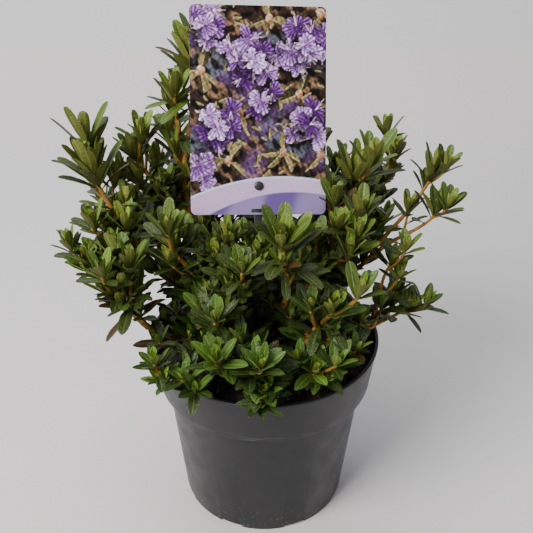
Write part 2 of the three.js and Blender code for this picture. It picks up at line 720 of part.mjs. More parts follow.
// Label card: a thin plastic sheet with rounded corners, a hole for the stud and a slot
function makeCard() {
  const half = CARD_WIDTH / 2;
  const shape = new THREE.Shape();
  shape.moveTo(-half + CARD_CORNER, 0);
  shape.lineTo(half - CARD_CORNER, 0);
  shape.absarc(half - CARD_CORNER, CARD_CORNER, CARD_CORNER, -Math.PI / 2, 0);
  shape.absarc(half - CARD_CORNER, CARD_HEIGHT - CARD_CORNER, CARD_CORNER, 0, Math.PI / 2);
  shape.absarc(-half + CARD_CORNER, CARD_HEIGHT - CARD_CORNER, CARD_CORNER, Math.PI / 2, Math.PI);
  shape.absarc(-half + CARD_CORNER, CARD_CORNER, CARD_CORNER, Math.PI, 1.5 * Math.PI);
  const hole = new THREE.Path();
  hole.absarc(0, STUD_RISE, STUD_SHANK_RADIUS + CLEARANCE, 0, 2 * Math.PI, true);
  shape.holes.push(hole);
  const slot = new THREE.Path();
  slot.moveTo(-SLOT_WIDTH / 2, SLOT_RISE);
  slot.lineTo(-SLOT_WIDTH / 2, SLOT_RISE + SLOT_HEIGHT);
  slot.lineTo(SLOT_WIDTH / 2, SLOT_RISE + SLOT_HEIGHT);
  slot.lineTo(SLOT_WIDTH / 2, SLOT_RISE);
  slot.closePath();
  shape.holes.push(slot);
  const card = new THREE.ExtrudeGeometry(shape, {
    depth: CARD_THICKNESS,
    bevelEnabled: false,
    curveSegments: CARD_CORNER_STEPS,
  });
  card.translate(0, 0, -CARD_THICKNESS / 2).applyMatrix4(cardMatrix);
  return solid(card);
}

// Label stick: flat plastic that runs down behind the card and on into the compost
const stickBehind = -CARD_THICKNESS / 2 - CLEARANCE - STICK_THICKNESS / 2;

function stickPoints() {
  const top = new THREE.Vector3(0, STICK_TOP_RISE, stickBehind).applyMatrix4(cardMatrix);
  const bend = new THREE.Vector3(0, -STICK_BEND_DROP, stickBehind).applyMatrix4(cardMatrix);
  const footHeight = SOIL_CENTRE_HEIGHT - STICK_DEPTH_IN_SOIL;
  const foot = new THREE.Vector3(CARD_FOOT.x, STICK_FOOT_Y, footHeight);
  const slope = bend.clone().sub(top).normalize();
  const upperArm = along(bend, slope, STICK_UPPER_ARM);
  const lowerArm = along(foot, UP, STICK_LOWER_ARM);
  return [top, ...new THREE.CubicBezierCurve3(bend, upperArm, lowerArm, foot).getPoints(STICK_STEPS)];
}

// The stick as a strip along its points, grown by an extra margin to cut its hole
function makeStick(points, extra = 0) {
  const width = STICK_WIDTH + 2 * extra;
  const thickness = STICK_THICKNESS + 2 * extra;
  const across = new THREE.Vector3(1, 0, 0).transformDirection(cardMatrix);
  const strip = new THREE.BoxGeometry(1, 1, 1, 1, points.length - 1, 1);
  const place = strip.attributes.position;
  for (let i = 0; i < place.count; i += 1) {
    const ring = Math.round((place.getY(i) + 0.5) * (points.length - 1));
    const before = points[Math.max(0, ring - 1)];
    const after = points[Math.min(points.length - 1, ring + 1)];
    const tangent = after.clone().sub(before).normalize();
    const out = new THREE.Vector3().crossVectors(across, tangent).normalize();
    const point = points[ring].clone();
    point.addScaledVector(across, place.getX(i) * width);
    point.addScaledVector(out, place.getZ(i) * thickness);
    place.setXYZ(i, point.x, point.y, point.z);
  }
  return solid(strip);
}

// The stud is one with the stick: its shank goes through the card and its head lies in front
function makeStud() {
  const front = CARD_THICKNESS / 2 + CLEARANCE;
  const reach = front - stickBehind + STUD_HEAD_DEPTH / 2;
  const radius = STUD_SHANK_RADIUS;
  const shank = new THREE.CylinderGeometry(radius, radius, reach, STUD_SHANK_SIDES);
  shank.rotateX(Math.PI / 2).translate(0, STUD_RISE, stickBehind + reach / 2);
  const crown = STUD_HEAD_RADIUS * STUD_DOME;
  const head = new THREE.CylinderGeometry(crown, STUD_HEAD_RADIUS, STUD_HEAD_DEPTH, STUD_HEAD_SIDES);
  head.rotateX(Math.PI / 2).translate(0, STUD_RISE, front + STUD_HEAD_DEPTH / 2);
  return solid(shank.applyMatrix4(cardMatrix)).add(solid(head.applyMatrix4(cardMatrix)));
}

// Materials
const plastic = new THREE.MeshStandardMaterial({ color: 0x4b4b50, roughness: 0.42, metalness: 0 });
const compost = new THREE.MeshStandardMaterial({ color: 0x1d1611, roughness: 0.95, metalness: 0 });
const bark = new THREE.MeshStandardMaterial({ color: 0x7a5232, roughness: 0.85, metalness: 0 });
const foliage = new THREE.MeshStandardMaterial({ color: 0x47702f, roughness: 0.5, metalness: 0 });
const cardSheet = new THREE.MeshStandardMaterial({ color: 0x8b78a8, roughness: 0.25, metalness: 0 });
const blackPlastic = new THREE.MeshStandardMaterial({ color: 0x121212, roughness: 0.4, metalness: 0 });

const plant = new THREE.Group();

function addPart(name, body, material) {
  const mesh = new THREE.Mesh(geometryOf(body), material);
  mesh.name = name;
  plant.add(mesh);
}

// The whole plant, from the pot up
const stickWay = stickPoints();
const stickLimb = {
  name: 'label_stick',
  points: stickWay,
  radii: stickWay.map(() => STICK_WIDTH / 2),
  steps: stickWay.length - 1,
};
addPart('pot', makePot(), plastic);
addPart('soil', makeSoil(makeStick(stickWay, CLEARANCE)), compost);
addPart('label_card', makeCard(), cardSheet);
addPart('label_stick', makeStick(stickWay).add(makeStud()), blackPlastic);

const trunk = growTrunk();
addPart('trunk', solid(tubeGeometry(trunk, TRUNK_SIDES)), bark);
const limbs = [trunk, stickLimb];
const boughs = BOUGHS.map((row, index) => {
  const bough = growBough(row, index, limbs);
  limbs.push(bough);
  return bough;
});
for (const bough of boughs) {
  const parent = limbs.find((other) => other.name === bough.from);
  const parentSides = parent === trunk ? TRUNK_SIDES : BOUGH_SIDES;
  const parentSpace = solid(tubeGeometry(parent, parentSides, CLEARANCE));
  const cut = solid(tubeGeometry(bough, BOUGH_SIDES)).subtract(parentSpace);
  addPart(`bough_${bough.name}`, largestPiece(cut), bark);
}

const stems = growStems(boughs, limbs);
const allLimbs = limbs.concat(stems);
for (const stem of stems) {
  const shoots = growShoots(stem, allLimbs, stems);
  const leaves = growLeaves(stem, shoots, allLimbs, stems);
  addPart(`foliage_${stem.name}`, fuse([stem, ...shoots], leaves), foliage);
}
export default plant;
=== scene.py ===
import json
import math

import bmesh
import bpy
import numpy as np
from mathutils import Matrix, Vector, noise

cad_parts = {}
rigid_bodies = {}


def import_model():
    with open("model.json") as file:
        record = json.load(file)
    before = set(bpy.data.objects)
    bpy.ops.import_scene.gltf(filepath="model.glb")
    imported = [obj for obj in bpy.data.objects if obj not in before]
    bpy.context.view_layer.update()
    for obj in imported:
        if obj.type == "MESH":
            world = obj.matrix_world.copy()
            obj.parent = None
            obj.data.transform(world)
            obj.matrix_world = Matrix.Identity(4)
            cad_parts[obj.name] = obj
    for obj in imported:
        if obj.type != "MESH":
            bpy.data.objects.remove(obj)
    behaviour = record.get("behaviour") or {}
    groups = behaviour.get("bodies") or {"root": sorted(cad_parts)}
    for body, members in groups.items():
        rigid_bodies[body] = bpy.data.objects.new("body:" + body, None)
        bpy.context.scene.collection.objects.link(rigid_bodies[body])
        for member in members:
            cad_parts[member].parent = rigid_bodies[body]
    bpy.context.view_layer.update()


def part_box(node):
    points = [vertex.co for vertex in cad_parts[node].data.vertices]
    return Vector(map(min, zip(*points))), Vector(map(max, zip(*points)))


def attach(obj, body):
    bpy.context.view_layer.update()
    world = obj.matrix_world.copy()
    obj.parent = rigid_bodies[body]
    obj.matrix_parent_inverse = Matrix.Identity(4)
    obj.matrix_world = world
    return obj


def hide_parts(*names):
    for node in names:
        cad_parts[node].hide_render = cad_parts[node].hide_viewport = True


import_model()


# Pot: a round nursery pot of thin moulded plastic, dark grey and satin. A stepped collar
# stiffens its rim, and it stands on a flat ring and a middle pad. Notches in the ring and holes
# in the floor drain it, and it carries everything else.
MM = 0.001
pot_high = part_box("pot")[1]
RIM_RADIUS = pot_high.x / MM
POT_HEIGHT = pot_high.z / MM
POT_SIDES = 160
LIP_HEIGHT = 2.5
LIP_WALL = 2.4
LIP_STEP = 0.8
COLLAR_HEIGHT = 40.0
COLLAR_FOOT_RADIUS = 89.8
SHOULDER_RADIUS = 83.3
BASE_RADIUS = 71.0
POT_WALL = 1.5
FOOT_HEIGHT = 3.5
FOOT_INNER_RADIUS = 61.0
CENTRE_PAD_RADIUS = 28.0
FLOOR_TOP = 5.0
DRAIN_NOTCHES = 8
NOTCH_SIZE = (20.0, 20.0, 6.0)
NOTCH_TURN = 0.39
DRAIN_HOLE_RADIUS = 4.5
DRAIN_HOLE_REACH = 45.0
DRAIN_HOLE_SIDES = 24
COLLAR_FOOT = POT_HEIGHT - COLLAR_HEIGHT
LIP_FOOT = POT_HEIGHT - LIP_HEIGHT
ROUNDING_STEPS = 4
SHARP_CREASE = 40.0

# Heights in metres between which pale scuffs and a painted highlight fade in and out again under
# the collar, and between which specks of compost fade out above the foot
SCUFF_HIGHLIGHT_FADE_IN = (0.1185, 0.1205)
SCUFF_HIGHLIGHT_FADE_OUT = (0.127, 0.121)
SPECKS_FADE_OUT = (0.034, 0.004)

# Radius, height and rounding of each corner of the pot's section, from the underside's middle
# out, up the outside, over the lip and down the inside
POT_SECTION = [
    (0.0, 0.0, 0.0),
    (CENTRE_PAD_RADIUS, 0.0, 0.6),
    (CENTRE_PAD_RADIUS + 2.0, FOOT_HEIGHT, 0.8),
    (FOOT_INNER_RADIUS - 1.0, FOOT_HEIGHT, 0.8),
    (FOOT_INNER_RADIUS, 0.0, 0.6),
    (BASE_RADIUS, 0.0, 1.2),
    (SHOULDER_RADIUS, COLLAR_FOOT, 0.9),
    (COLLAR_FOOT_RADIUS, COLLAR_FOOT, 1.3),
    (RIM_RADIUS - LIP_STEP, LIP_FOOT, 0.3),
    (RIM_RADIUS, LIP_FOOT, 0.5),
    (RIM_RADIUS, POT_HEIGHT, 0.8),
    (RIM_RADIUS - LIP_WALL, POT_HEIGHT, 0.8),
    (COLLAR_FOOT_RADIUS - POT_WALL, COLLAR_FOOT + POT_WALL, 1.2),
    (SHOULDER_RADIUS - POT_WALL, COLLAR_FOOT + POT_WALL, 1.2),
    (BASE_RADIUS - POT_WALL, FLOOR_TOP, 2.0),
    (0.0, FLOOR_TOP, 0.0),
]


def srgb(red, green, blue):
    """A colour given as 0 to 255 for a screen, as the linear colour that shaders take"""
    return tuple(((c / 255.0 + 0.055) / 1.055) ** 2.4 for c in (red, green, blue)) + (1.0,)


def rounded(section):
    """The section with each corner rounded by a short curve"""
    points = []
    for i, (radius, height, rounding) in enumerate(section):
        corner = np.array((radius, height))
        if rounding == 0.0:
            points.append(corner)
            continue
        ends = []
        for neighbour in (section[i - 1], section[i + 1]):
            way = np.array(neighbour[:2]) - corner
            ends.append(corner + way / np.linalg.norm(way) * rounding)
        for t in np.linspace(0.0, 1.0, ROUNDING_STEPS + 1):
            points.append((1 - t) ** 2 * ends[0] + 2 * t * (1 - t) * corner + t * t * ends[1])
    return points


def revolved(section, sides):
    """Points and faces of a section turned round the Z axis, with its first and last point on it"""
    turns = np.arange(sides) * 2 * math.pi / sides
    points = [(0.0, 0.0, section[0][1]), (0.0, 0.0, section[-1][1])]
    for radius, height in section[1:-1]:
        points += [(radius * math.cos(t), radius * math.sin(t), height) for t in turns]
    rings = len(section) - 2
    faces = []
    for side in range(sides):
        after = (side + 1) % sides
        faces.append((0, 2 + after, 2 + side))
        for ring in range(rings - 1):
            low = 2 + ring * sides
            high = low + sides
            faces.append((low + side, low + after, high + after, high + side))
        last = 2 + (rings - 1) * sides
        faces.append((1, last + side, last + after))
    return points, faces


def new_piece(name, points, faces, materials, slots=None, crease=SHARP_CREASE):
    """A mesh piece from points in millimetres, shaded smooth except over sharp creases"""
    mesh = bpy.data.meshes.new(name)
    mesh.from_pydata((np.asarray(points, float) * MM).tolist(), [], faces)
    for material in materials:
        mesh.materials.append(material)
    if slots is not None:
        mesh.polygons.foreach_set("material_index", slots)
    mesh.shade_smooth()
    mesh.set_sharp_from_angle(angle=math.radians(crease))
    mesh.update()
    piece = bpy.data.objects.new(name, mesh)
    bpy.context.scene.collection.objects.link(piece)
    return piece


def settle(piece):
    """Applies the modifiers of a piece"""
    depsgraph = bpy.context.evaluated_depsgraph_get()
    made = bpy.data.meshes.new_from_object(piece.evaluated_get(depsgraph), depsgraph=depsgraph)
    made.name = piece.name
    piece.modifiers.clear()
    piece.data = made


def cut_away(piece, cutter):
    """Cuts one mesh out of another, and removes the cutter"""
    cut = piece.modifiers.new("cut", "BOOLEAN")
    cut.operation = "DIFFERENCE"
    cut.solver = "EXACT"
    cut.object = cutter
    settle(piece)
    bpy.data.objects.remove(cutter)
    piece.data.set_sharp_from_angle(angle=math.radians(SHARP_CREASE))


def add_block(shape, size, place):
    """Adds a block to the mesh of a cutter"""
    bmesh.ops.create_cube(shape, size=1.0, matrix=place @ Matrix.Diagonal((*size, 1.0)))


def add_rod(shape, radius, depth, sides, place):
    """Adds a round rod to the mesh of a cutter"""
    bmesh.ops.create_cone(
        shape, cap_ends=True, segments=sides, depth=depth, radius1=radius, radius2=radius, matrix=place,
    )


def cutter_piece(name, shape):
    """A mesh in millimetres as an object to cut with"""
    shape.transform(Matrix.Scale(MM, 4))
    mesh = bpy.data.meshes.new(name)
    shape.to_mesh(mesh)
    shape.free()
    cutter = bpy.data.objects.new(name, mesh)
    bpy.context.scene.collection.objects.link(cutter)
    return cutter


def drain_cutter():
    """The notches in the pot's standing ring and the holes in its floor"""
    shape = bmesh.new()
    for k in range(DRAIN_NOTCHES):
        turn = Matrix.Rotation(NOTCH_TURN + 2 * math.pi * k / DRAIN_NOTCHES, 4, "Z")
        add_block(shape, NOTCH_SIZE, turn @ Matrix.Translation((BASE_RADIUS, 0, 0)))
        hole = turn @ Matrix.Translation((DRAIN_HOLE_REACH, 0, 0))
        add_rod(shape, DRAIN_HOLE_RADIUS, 4 * FLOOR_TOP, DRAIN_HOLE_SIDES, hole)
    return cutter_piece("drain_cutter", shape)


def add_sockets(tree, way, **kinds):
    """Gives a node group its inputs or outputs, by name and kind"""
    for name, kind in kinds.items():
        tree.interface.new_socket(name=name, in_out=way, socket_type="NodeSocket" + kind)


def add_node(tree, kind, inputs=None, **settings):
    """Adds a node to a tree; each of its inputs takes a value, or a link where a socket is given"""
    node = tree.nodes.new(kind)
    for name, setting in settings.items():
        setattr(node, name, setting)
    for place, value in (inputs or {}).items():
        if isinstance(value, bpy.types.NodeSocket):
            tree.links.new(value, node.inputs[place])
        else:
            node.inputs[place].default_value = value
    return node


def mottle_group():
    """Shader group: a soft mottle over the surface, from 0 to 1, stretched along an axis"""
    tree = bpy.data.node_groups.new("mottle", "ShaderNodeTree")
    add_sockets(tree, "INPUT", Scale="Float", Detail="Float", Spread="Float", Stretch="Vector")
    add_sockets(tree, "OUTPUT", Mask="Float")
    given = add_node(tree, "NodeGroupInput").outputs
    place = add_node(tree, "ShaderNodeTexCoord").outputs["Object"]
    factors = {0: place, 1: given["Stretch"]}
    stretched = add_node(tree, "ShaderNodeVectorMath", factors, operation="MULTIPLY").outputs[0]
    pattern = add_node(tree, "ShaderNodeTexNoise", {
        "Vector": stretched, "Scale": given["Scale"], "Detail": given["Detail"],
    })
    spread = {"Value": pattern.outputs["Fac"]}
    for operation, end in (("SUBTRACT", "From Min"), ("ADD", "From Max")):
        limit = add_node(tree, "ShaderNodeMath", {0: 0.5, 1: given["Spread"]}, operation=operation)
        spread[end] = limit.outputs[0]
    mask = add_node(tree, "ShaderNodeMapRange", spread).outputs["Result"]
    add_node(tree, "NodeGroupOutput", {"Mask": mask})
    return tree


MOTTLE = mottle_group()


class Finish:
    """A material on one Principled shader, whose mottles feed its colour, roughness and relief"""

    def __init__(self, name, roughness, specular):
        self.material = bpy.data.materials.new(name)
        self.material.use_nodes = True
        self.tree = self.material.node_tree
        self.shader = self.tree.nodes["Principled BSDF"]
        self.shader.inputs["Roughness"].default_value = roughness
        self.shader.inputs["Specular IOR Level"].default_value = specular
        self.colour = None
        self.bumped = None

    def add(self, kind, inputs=None, **settings):
        """Adds a node to the material"""
        return add_node(self.tree, kind, inputs, **settings)

    def mottle(self, scale, spread=0.2, detail=3.0, stretch=(1.0, 1.0, 1.0)):
        """A mask of patches; scale is in patches to the metre"""
        values = {"Scale": scale, "Detail": detail, "Spread": spread, "Stretch": stretch}
        return self.add("ShaderNodeGroup", values, node_tree=MOTTLE).outputs["Mask"]

    def ramp(self, mask, low, high, result_low=0.0, result_high=1.0):
        """The mask stretched from low to high on to a new range"""
        ends = {"From Min": low, "From Max": high, "To Min": result_low, "To Max": result_high}
        return self.add("ShaderNodeMapRange", {"Value": mask, **ends}).outputs["Result"]

    def times(self, first, second):
        """Two masks multiplied"""
        return self.add("ShaderNodeMath", {0: first, 1: second}, operation="MULTIPLY").outputs[0]

    def coordinate(self, axis):
        """Where a point lies on an axis, in metres"""
        place = self.add("ShaderNodeTexCoord").outputs["Object"]
        return self.add("ShaderNodeSeparateXYZ", {0: place}).outputs[axis]

    def show(self, result, socket):
        """Feeds a result to the shader"""
        self.tree.links.new(result, self.shader.inputs[socket])

    def paint(self, colour, mask=None):
        """Lays a colour over what is there, by a mask; the first colour is the ground"""
        if self.colour is None:
            self.colour = colour
            self.shader.inputs["Base Color"].default_value = colour
            return
        both = {0: mask, 6: self.colour, 7: colour}
        self.colour = self.add("ShaderNodeMix", both, data_type="RGBA").outputs[2]
        self.show(self.colour, "Base Color")

    def gloss(self, mask, smooth, rough):
        """Roughness from smooth to rough by a mask"""
        self.show(self.ramp(mask, 0.0, 1.0, smooth, rough), "Roughness")

    def relief(self, mask, depth):
        """Fine relief from a mask, over what is there; depth is in millimetres"""
        bump = {"Distance": depth * MM, "Height": mask}
        if self.bumped is not None:
            bump["Normal"] = self.bumped
        self.bumped = self.add("ShaderNodeBump", bump).outputs["Normal"]
        self.show(self.bumped, "Normal")


def pot_finish():
    """Satin plastic with faint flow marks, pale scuffs that are partly a painted highlight under the
    collar, and dust and specks by the foot
    """
    finish = Finish("pot_plastic", roughness=0.4, specular=0.36)
    finish.paint(srgb(24, 24, 28))
    finish.paint(srgb(30, 30, 34), finish.mottle(22.0, 0.25, 3.0, (1.0, 1.0, 0.25)))
    # Pale scuffs under the collar, partly real wear and partly a painted highlight along its foot
    scuffs_and_highlight = finish.mottle(260.0, 0.12, 5.0, (0.25, 0.25, 2.4))
    collar_edge = finish.times(
        finish.ramp(finish.coordinate(2), *SCUFF_HIGHLIGHT_FADE_IN),
        finish.ramp(finish.coordinate(2), *SCUFF_HIGHLIGHT_FADE_OUT),
    )
    finish.paint(srgb(100, 100, 102), finish.times(finish.ramp(scuffs_and_highlight, 0.55, 1.6), collar_edge))
    specks = finish.ramp(finish.mottle(330.0, 0.16, 2.0), 0.9, 1.1)
    near_foot = finish.ramp(finish.coordinate(2), *SPECKS_FADE_OUT)
    finish.paint(srgb(118, 108, 96), finish.times(specks, near_foot))
    finish.gloss(finish.mottle(60.0, 0.2, 4.0), 0.33, 0.46)
    finish.relief(finish.mottle(900.0, 0.3, 2.0), 0.012)
    return finish.material


pot_points, pot_faces = revolved(rounded(POT_SECTION), POT_SIDES)
pot = new_piece("pot_shell", pot_points, pot_faces, [pot_finish()])
cut_away(pot, drain_cutter())
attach(pot, "root")
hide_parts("pot")


# Compost: moist dark peat with bark chips, a few pale grains and green crumbs. It is one bed that
# fills the pot, with loose crumbs on its uneven top.
soil_low, soil_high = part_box("soil")
SOIL_TOP = soil_high.z / MM
SOIL_EDGE = SOIL_TOP - 3.0
SOIL_BOTTOM = soil_low.z / MM
SOIL_RINGS = 46
SOIL_SIDES = 180
SOIL_REACH = COLLAR_FOOT_RADIUS + 2.2
SOIL_GAP = 0.6
SOIL_SINK = 1.0
SOIL_LUMPS = (1.6, 0.045, 3.1)
SOIL_CLODS = (1.1, 0.19, 7.7)
CRUMB_BED_REACH = SOIL_REACH - 1.5
CRUMB_BED_RINGS = 12
CRUMB_BED_SIDES = 48
CRUMB_WOBBLE = (700.0, 0.0016)


def soil_height(x, y):
    """Height of the compost's top: highest in the middle, with lumps and fine clods"""
    reach = math.hypot(x, y) / SOIL_REACH
    height = SOIL_TOP + (SOIL_EDGE - SOIL_TOP) * reach ** 2 - SOIL_SINK
    for size, scale, layer in (SOIL_LUMPS, SOIL_CLODS):
        height += size * noise.noise(Vector((x * scale, y * scale, layer)))
    return height


def soil_disc(reach, rings, sides):
    """Points and faces of the compost's top, out to a radius"""
    points = [(0.0, 0.0, soil_height(0.0, 0.0))]
    faces = []
    for ring in range(1, rings + 1):
        radius = reach * ring / rings
        for side in range(sides):
            x = radius * math.cos(2 * math.pi * side / sides)
            y = radius * math.sin(2 * math.pi * side / sides)
            points.append((x, y, soil_height(x, y)))
    for side in range(sides):
        after = (side + 1) % sides
        faces.append((0, 1 + side, 1 + after))
        for ring in range(rings - 1):
            low = 1 + ring * sides
            high = low + sides
            faces.append((low + side, high + side, high + after, low + after))
    return points, faces


def soil_bed():
    """The compost as a closed body: its top, its side down the pot's wall, and its underside"""
    points, faces = soil_disc(SOIL_REACH, SOIL_RINGS, SOIL_SIDES)
    gap = POT_WALL + SOIL_GAP
    below = [
        (COLLAR_FOOT_RADIUS - gap, COLLAR_FOOT + gap),
        (SHOULDER_RADIUS - gap, COLLAR_FOOT + gap),
        (BASE_RADIUS - gap, SOIL_BOTTOM),
    ]
    for radius, height in below:
        upper = len(points) - SOIL_SIDES
        for side in range(SOIL_SIDES):
            turn = 2 * math.pi * side / SOIL_SIDES
            points.append((radius * math.cos(turn), radius * math.sin(turn), height))
        lower = upper + SOIL_SIDES
        for side in range(SOIL_SIDES):
            after = (side + 1) % SOIL_SIDES
            faces.append((upper + side, lower + side, lower + after, upper + after))
    points.append((0.0, 0.0, SOIL_BOTTOM))
    last = len(points) - 1
    ring = last - SOIL_SIDES
    for side in range(SOIL_SIDES):
        faces.append((last, ring + (side + 1) % SOIL_SIDES, ring + side))
    return points, faces


def peat_finish(name, dark, light):
    """Moist crumbly peat"""
    finish = Finish(name, roughness=0.85, specular=0.3)
    finish.paint(dark)
    finish.paint(light, finish.mottle(420.0, 0.2, 5.0))
    finish.gloss(finish.mottle(150.0, 0.2), 0.7, 0.95)
    finish.relief(finish.mottle(1300.0, 0.3, 4.0), 0.5)
    return finish.material


def scatter_tree(name, build_shape):
    """Geometry Nodes: shapes strewn over a surface with random turns and sizes, made real.
    Its inputs are how many to the square metre, the smallest and largest size, and the seed."""
    tree = bpy.data.node_groups.new(name, "GeometryNodeTree")
    add_sockets(
        tree, "INPUT", Geometry="Geometry", Density="Float", Smallest="Float", Largest="Float",
        Seed="Int", Material="Material",
    )
    add_sockets(tree, "OUTPUT", Geometry="Geometry")
    given = add_node(tree, "NodeGroupInput").outputs
    spots = add_node(tree, "GeometryNodeDistributePointsOnFaces", {
        "Mesh": given["Geometry"], "Density": given["Density"], "Seed": given["Seed"],
    })
    turns = {"Max": (math.tau, math.tau, math.tau), "Seed": given["Seed"]}
    turn = add_node(tree, "FunctionNodeRandomValue", turns, data_type="FLOAT_VECTOR")
    sizes = {2: given["Smallest"], 3: given["Largest"], "Seed": given["Seed"]}
    size = add_node(tree, "FunctionNodeRandomValue", sizes, data_type="FLOAT")
    placed = add_node(tree, "GeometryNodeInstanceOnPoints", {
        "Points": spots.outputs["Points"],
        "Instance": build_shape(tree),
        "Rotation": turn.outputs["Value"],
        "Scale": size.outputs[1],
    })
    real = add_node(tree, "GeometryNodeRealizeInstances", {"Geometry": placed.outputs["Instances"]})
    wobble = add_node(tree, "ShaderNodeTexNoise", {"Scale": CRUMB_WOBBLE[0]}).outputs["Color"]
    level = {0: wobble, 1: (0.5, 0.5, 0.5)}
    centred = add_node(tree, "ShaderNodeVectorMath", level, operation="SUBTRACT").outputs[0]
    reduced = {0: centred, "Scale": CRUMB_WOBBLE[1]}
    offset = add_node(tree, "ShaderNodeVectorMath", reduced, operation="SCALE").outputs[0]
    moved = {"Geometry": real.outputs["Geometry"], "Offset": offset}
    shape = add_node(tree, "GeometryNodeSetPosition", moved).outputs["Geometry"]
    dressed = {"Geometry": shape, "Material": given["Material"]}
    shape = add_node(tree, "GeometryNodeSetMaterial", dressed).outputs["Geometry"]
    add_node(tree, "NodeGroupOutput", {"Geometry": shape})
    return tree


def lump_shape(tree):
    """A rough round crumb"""
    values = {"Radius": 1.0, "Subdivisions": 1}
    return add_node(tree, "GeometryNodeMeshIcoSphere", values).outputs["Mesh"]


def chip_shape(tree):
    """A flat splinter of bark"""
    return add_node(tree, "GeometryNodeMeshCube", {"Size": (2.6, 1.2, 0.35)}).outputs["Mesh"]


def strew(name, tree, material, density, smallest, largest, seed):
    """Strews a kind of crumb and makes it a plain mesh"""
    points, faces = soil_disc(CRUMB_BED_REACH, CRUMB_BED_RINGS, CRUMB_BED_SIDES)
    piece = new_piece(name, points, faces, [material])
    nodes = piece.modifiers.new("strewn", "NODES")
    nodes.node_group = tree
    values = {"Density": density, "Smallest": smallest * MM, "Largest": largest * MM,
              "Seed": seed, "Material": material}
    for socket in tree.interface.items_tree:
        if socket.in_out == "INPUT" and socket.name in values:
            nodes[socket.identifier] = values[socket.name]
    settle(piece)
    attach(piece, "root")


peat = peat_finish("peat", srgb(24, 19, 15), srgb(46, 37, 29))
bed_points, bed_faces = soil_bed()
bed = new_piece("compost_bed", bed_points, bed_faces, [peat])
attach(bed, "root")
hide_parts("soil")
crumb_tree = scatter_tree("crumbs", lump_shape)
chip_tree = scatter_tree("chips", chip_shape)
bark_chip = peat_finish("bark_chip", srgb(66, 44, 29), srgb(104, 72, 48))
pale_grain = peat_finish("pale_grain", srgb(142, 128, 100), srgb(176, 164, 138))
green_grain = peat_finish("green_grain", srgb(70, 84, 38), srgb(104, 116, 58))
strew("peat_crumbs", crumb_tree, peat, 110000.0, 0.5, 1.7, 3)
strew("bark_chips", chip_tree, bark_chip, 7000.0, 1.0, 2.9, 5)
strew("pale_grains", crumb_tree, pale_grain, 2200.0, 0.5, 1.1, 7)
strew("green_grains", crumb_tree, green_grain, 1400.0, 0.6, 1.3, 9)


# Trunk and boughs: brown wood with a scurfy, fissured bark. The trunk flares at its foot in the
# compost and forks just above it, and each bough tapers from its seat to its tip. Their way is
# the one that the solids take, by the same seeded rule.
CLEARANCE = 0.3
trunk_low, trunk_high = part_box("trunk")
TRUNK_FOOT_HEIGHT = trunk_low.z / MM
TRUNK_HEIGHT = trunk_high.z / MM - TRUNK_FOOT_HEIGHT
TRUNK_FOOT_RADIUS = 12.5
TRUNK_RADIUS = 8.5
TRUNK_TIP_RADIUS = 6.5
TRUNK_FLARE = 0.25
TRUNK_LEAN = (3.0, -5.0)
TRUNK_STEPS = 6
BOUGH_STEPS = 5
BOUGH_FOOT_RADIUS = 3.0
BRANCH_FOOT_RADIUS = 2.8
BOUGH_TIP_RADIUS = 2.3
BOUGH_SLIM = 0.72
BOUGH_SEAT = 0.85
BOUGH_FOLLOWS_TRUNK = 0.2
BRANCH_FOLLOWS_BOUGH = 0.45
BOUGH_UPTURN = 0.4
ROUTE_ARM = 0.36
ROUTE_TRIES = 60
ROUTE_SWAY = 1.2
BOUGH_SEED = 11
NEARLY_UPRIGHT = 0.95
UP = np.array((0.0, 0.0, 1.0))

# Meshes of the limbs: how far their rounded ends stand out, against their radius, then the rings,
# the sides and the depth of the bark of the trunk and of a bough. Ridges and knots of the bark have
# a scale round the limb and one along it.
TUBE_CAPS = (0.25, 0.5)
TRUNK_MESH = (44, 32, 0.13)
BOUGH_MESH = (40, 14, 0.1)
BARK_RIDGES = (2.6, 0.09)
BARK_KNOTS = (1.0, 0.3)
KNOT_SHARE = 0.7
SOFT_CREASE = 80.0

# Label card and its stick: limbs grow clear of the stick, and shoots, twigs and leaves of the card
CARD_WIDTH = 100.0
CARD_HEIGHT = 151.0
CARD_THICKNESS = 0.8
CARD_LEAN = math.radians(26.2)
CARD_YAW = math.radians(7.7)
CARD_ROLL = math.radians(-2.7)
CARD_FOOT = (-5.0, -22.0, 282.8)
STICK_WIDTH = 7.0
STICK_THICKNESS = 2.2
STICK_TOP_RISE = 30.0
STICK_BEND_DROP = 4.0
STICK_DEPTH_IN_SOIL = 45.0
STICK_FOOT_Y = -17.0
STICK_UPPER_ARM = 30.0
STICK_LOWER_ARM = 90.0
STICK_STEPS = 7

# Boughs: name, limb it leaves, how far up that limb, then azimuth in degrees, reach and height
BOUGHS = [
    ("left_arch", "trunk", 0.14, 213, 104, 204),
    ("right_low", "trunk", 0.14, 341, 84, 184),
    ("back_low", "trunk", 0.14, 92, 66, 182),
    ("front_low", "trunk", 0.3, 268, 66, 172),
    ("left", "trunk", 0.42, 188, 90, 232),
    ("right_inner", "trunk", 0.44, 304, 58, 188),
    ("back_left", "trunk", 0.55, 138, 76, 220),
    ("back_right", "trunk", 0.55, 48, 76, 220),
    ("front", "trunk", 0.58, 246, 56, 206),
    ("right_reach", "trunk", 0.72, 0, 84, 236),
    ("tall_left", "trunk", 0.95, 158, 66, 254),
    ("upright", "trunk", 0.95, 290, 46, 214),
    ("right_top", "trunk", 0.95, 26, 66, 254),
    ("back_mid", "trunk", 0.8, 92, 36, 262),
    ("centre_left", "left", 0.42, 216, 54, 220),
    ("right_front", "right_reach", 0.45, 333, 52, 234),
    ("trailing", "left_arch", 0.4, 238, 74, 170),
]


def seeded(seed):
    """A seeded random number maker, so that the plant grows the same each time"""
    state = [seed]
    whole = 0xFFFFFFFF

    def draw():
        state[0] = (state[0] + 0x6D2B79F5) & whole
        t = state[0]
        t = ((t ^ (t >> 15)) * (t | 1)) & whole
        t ^= (t + (((t ^ (t >> 7)) * (t | 61)) & whole)) & whole
        return (t ^ (t >> 14)) / 4294967296.0

    return draw


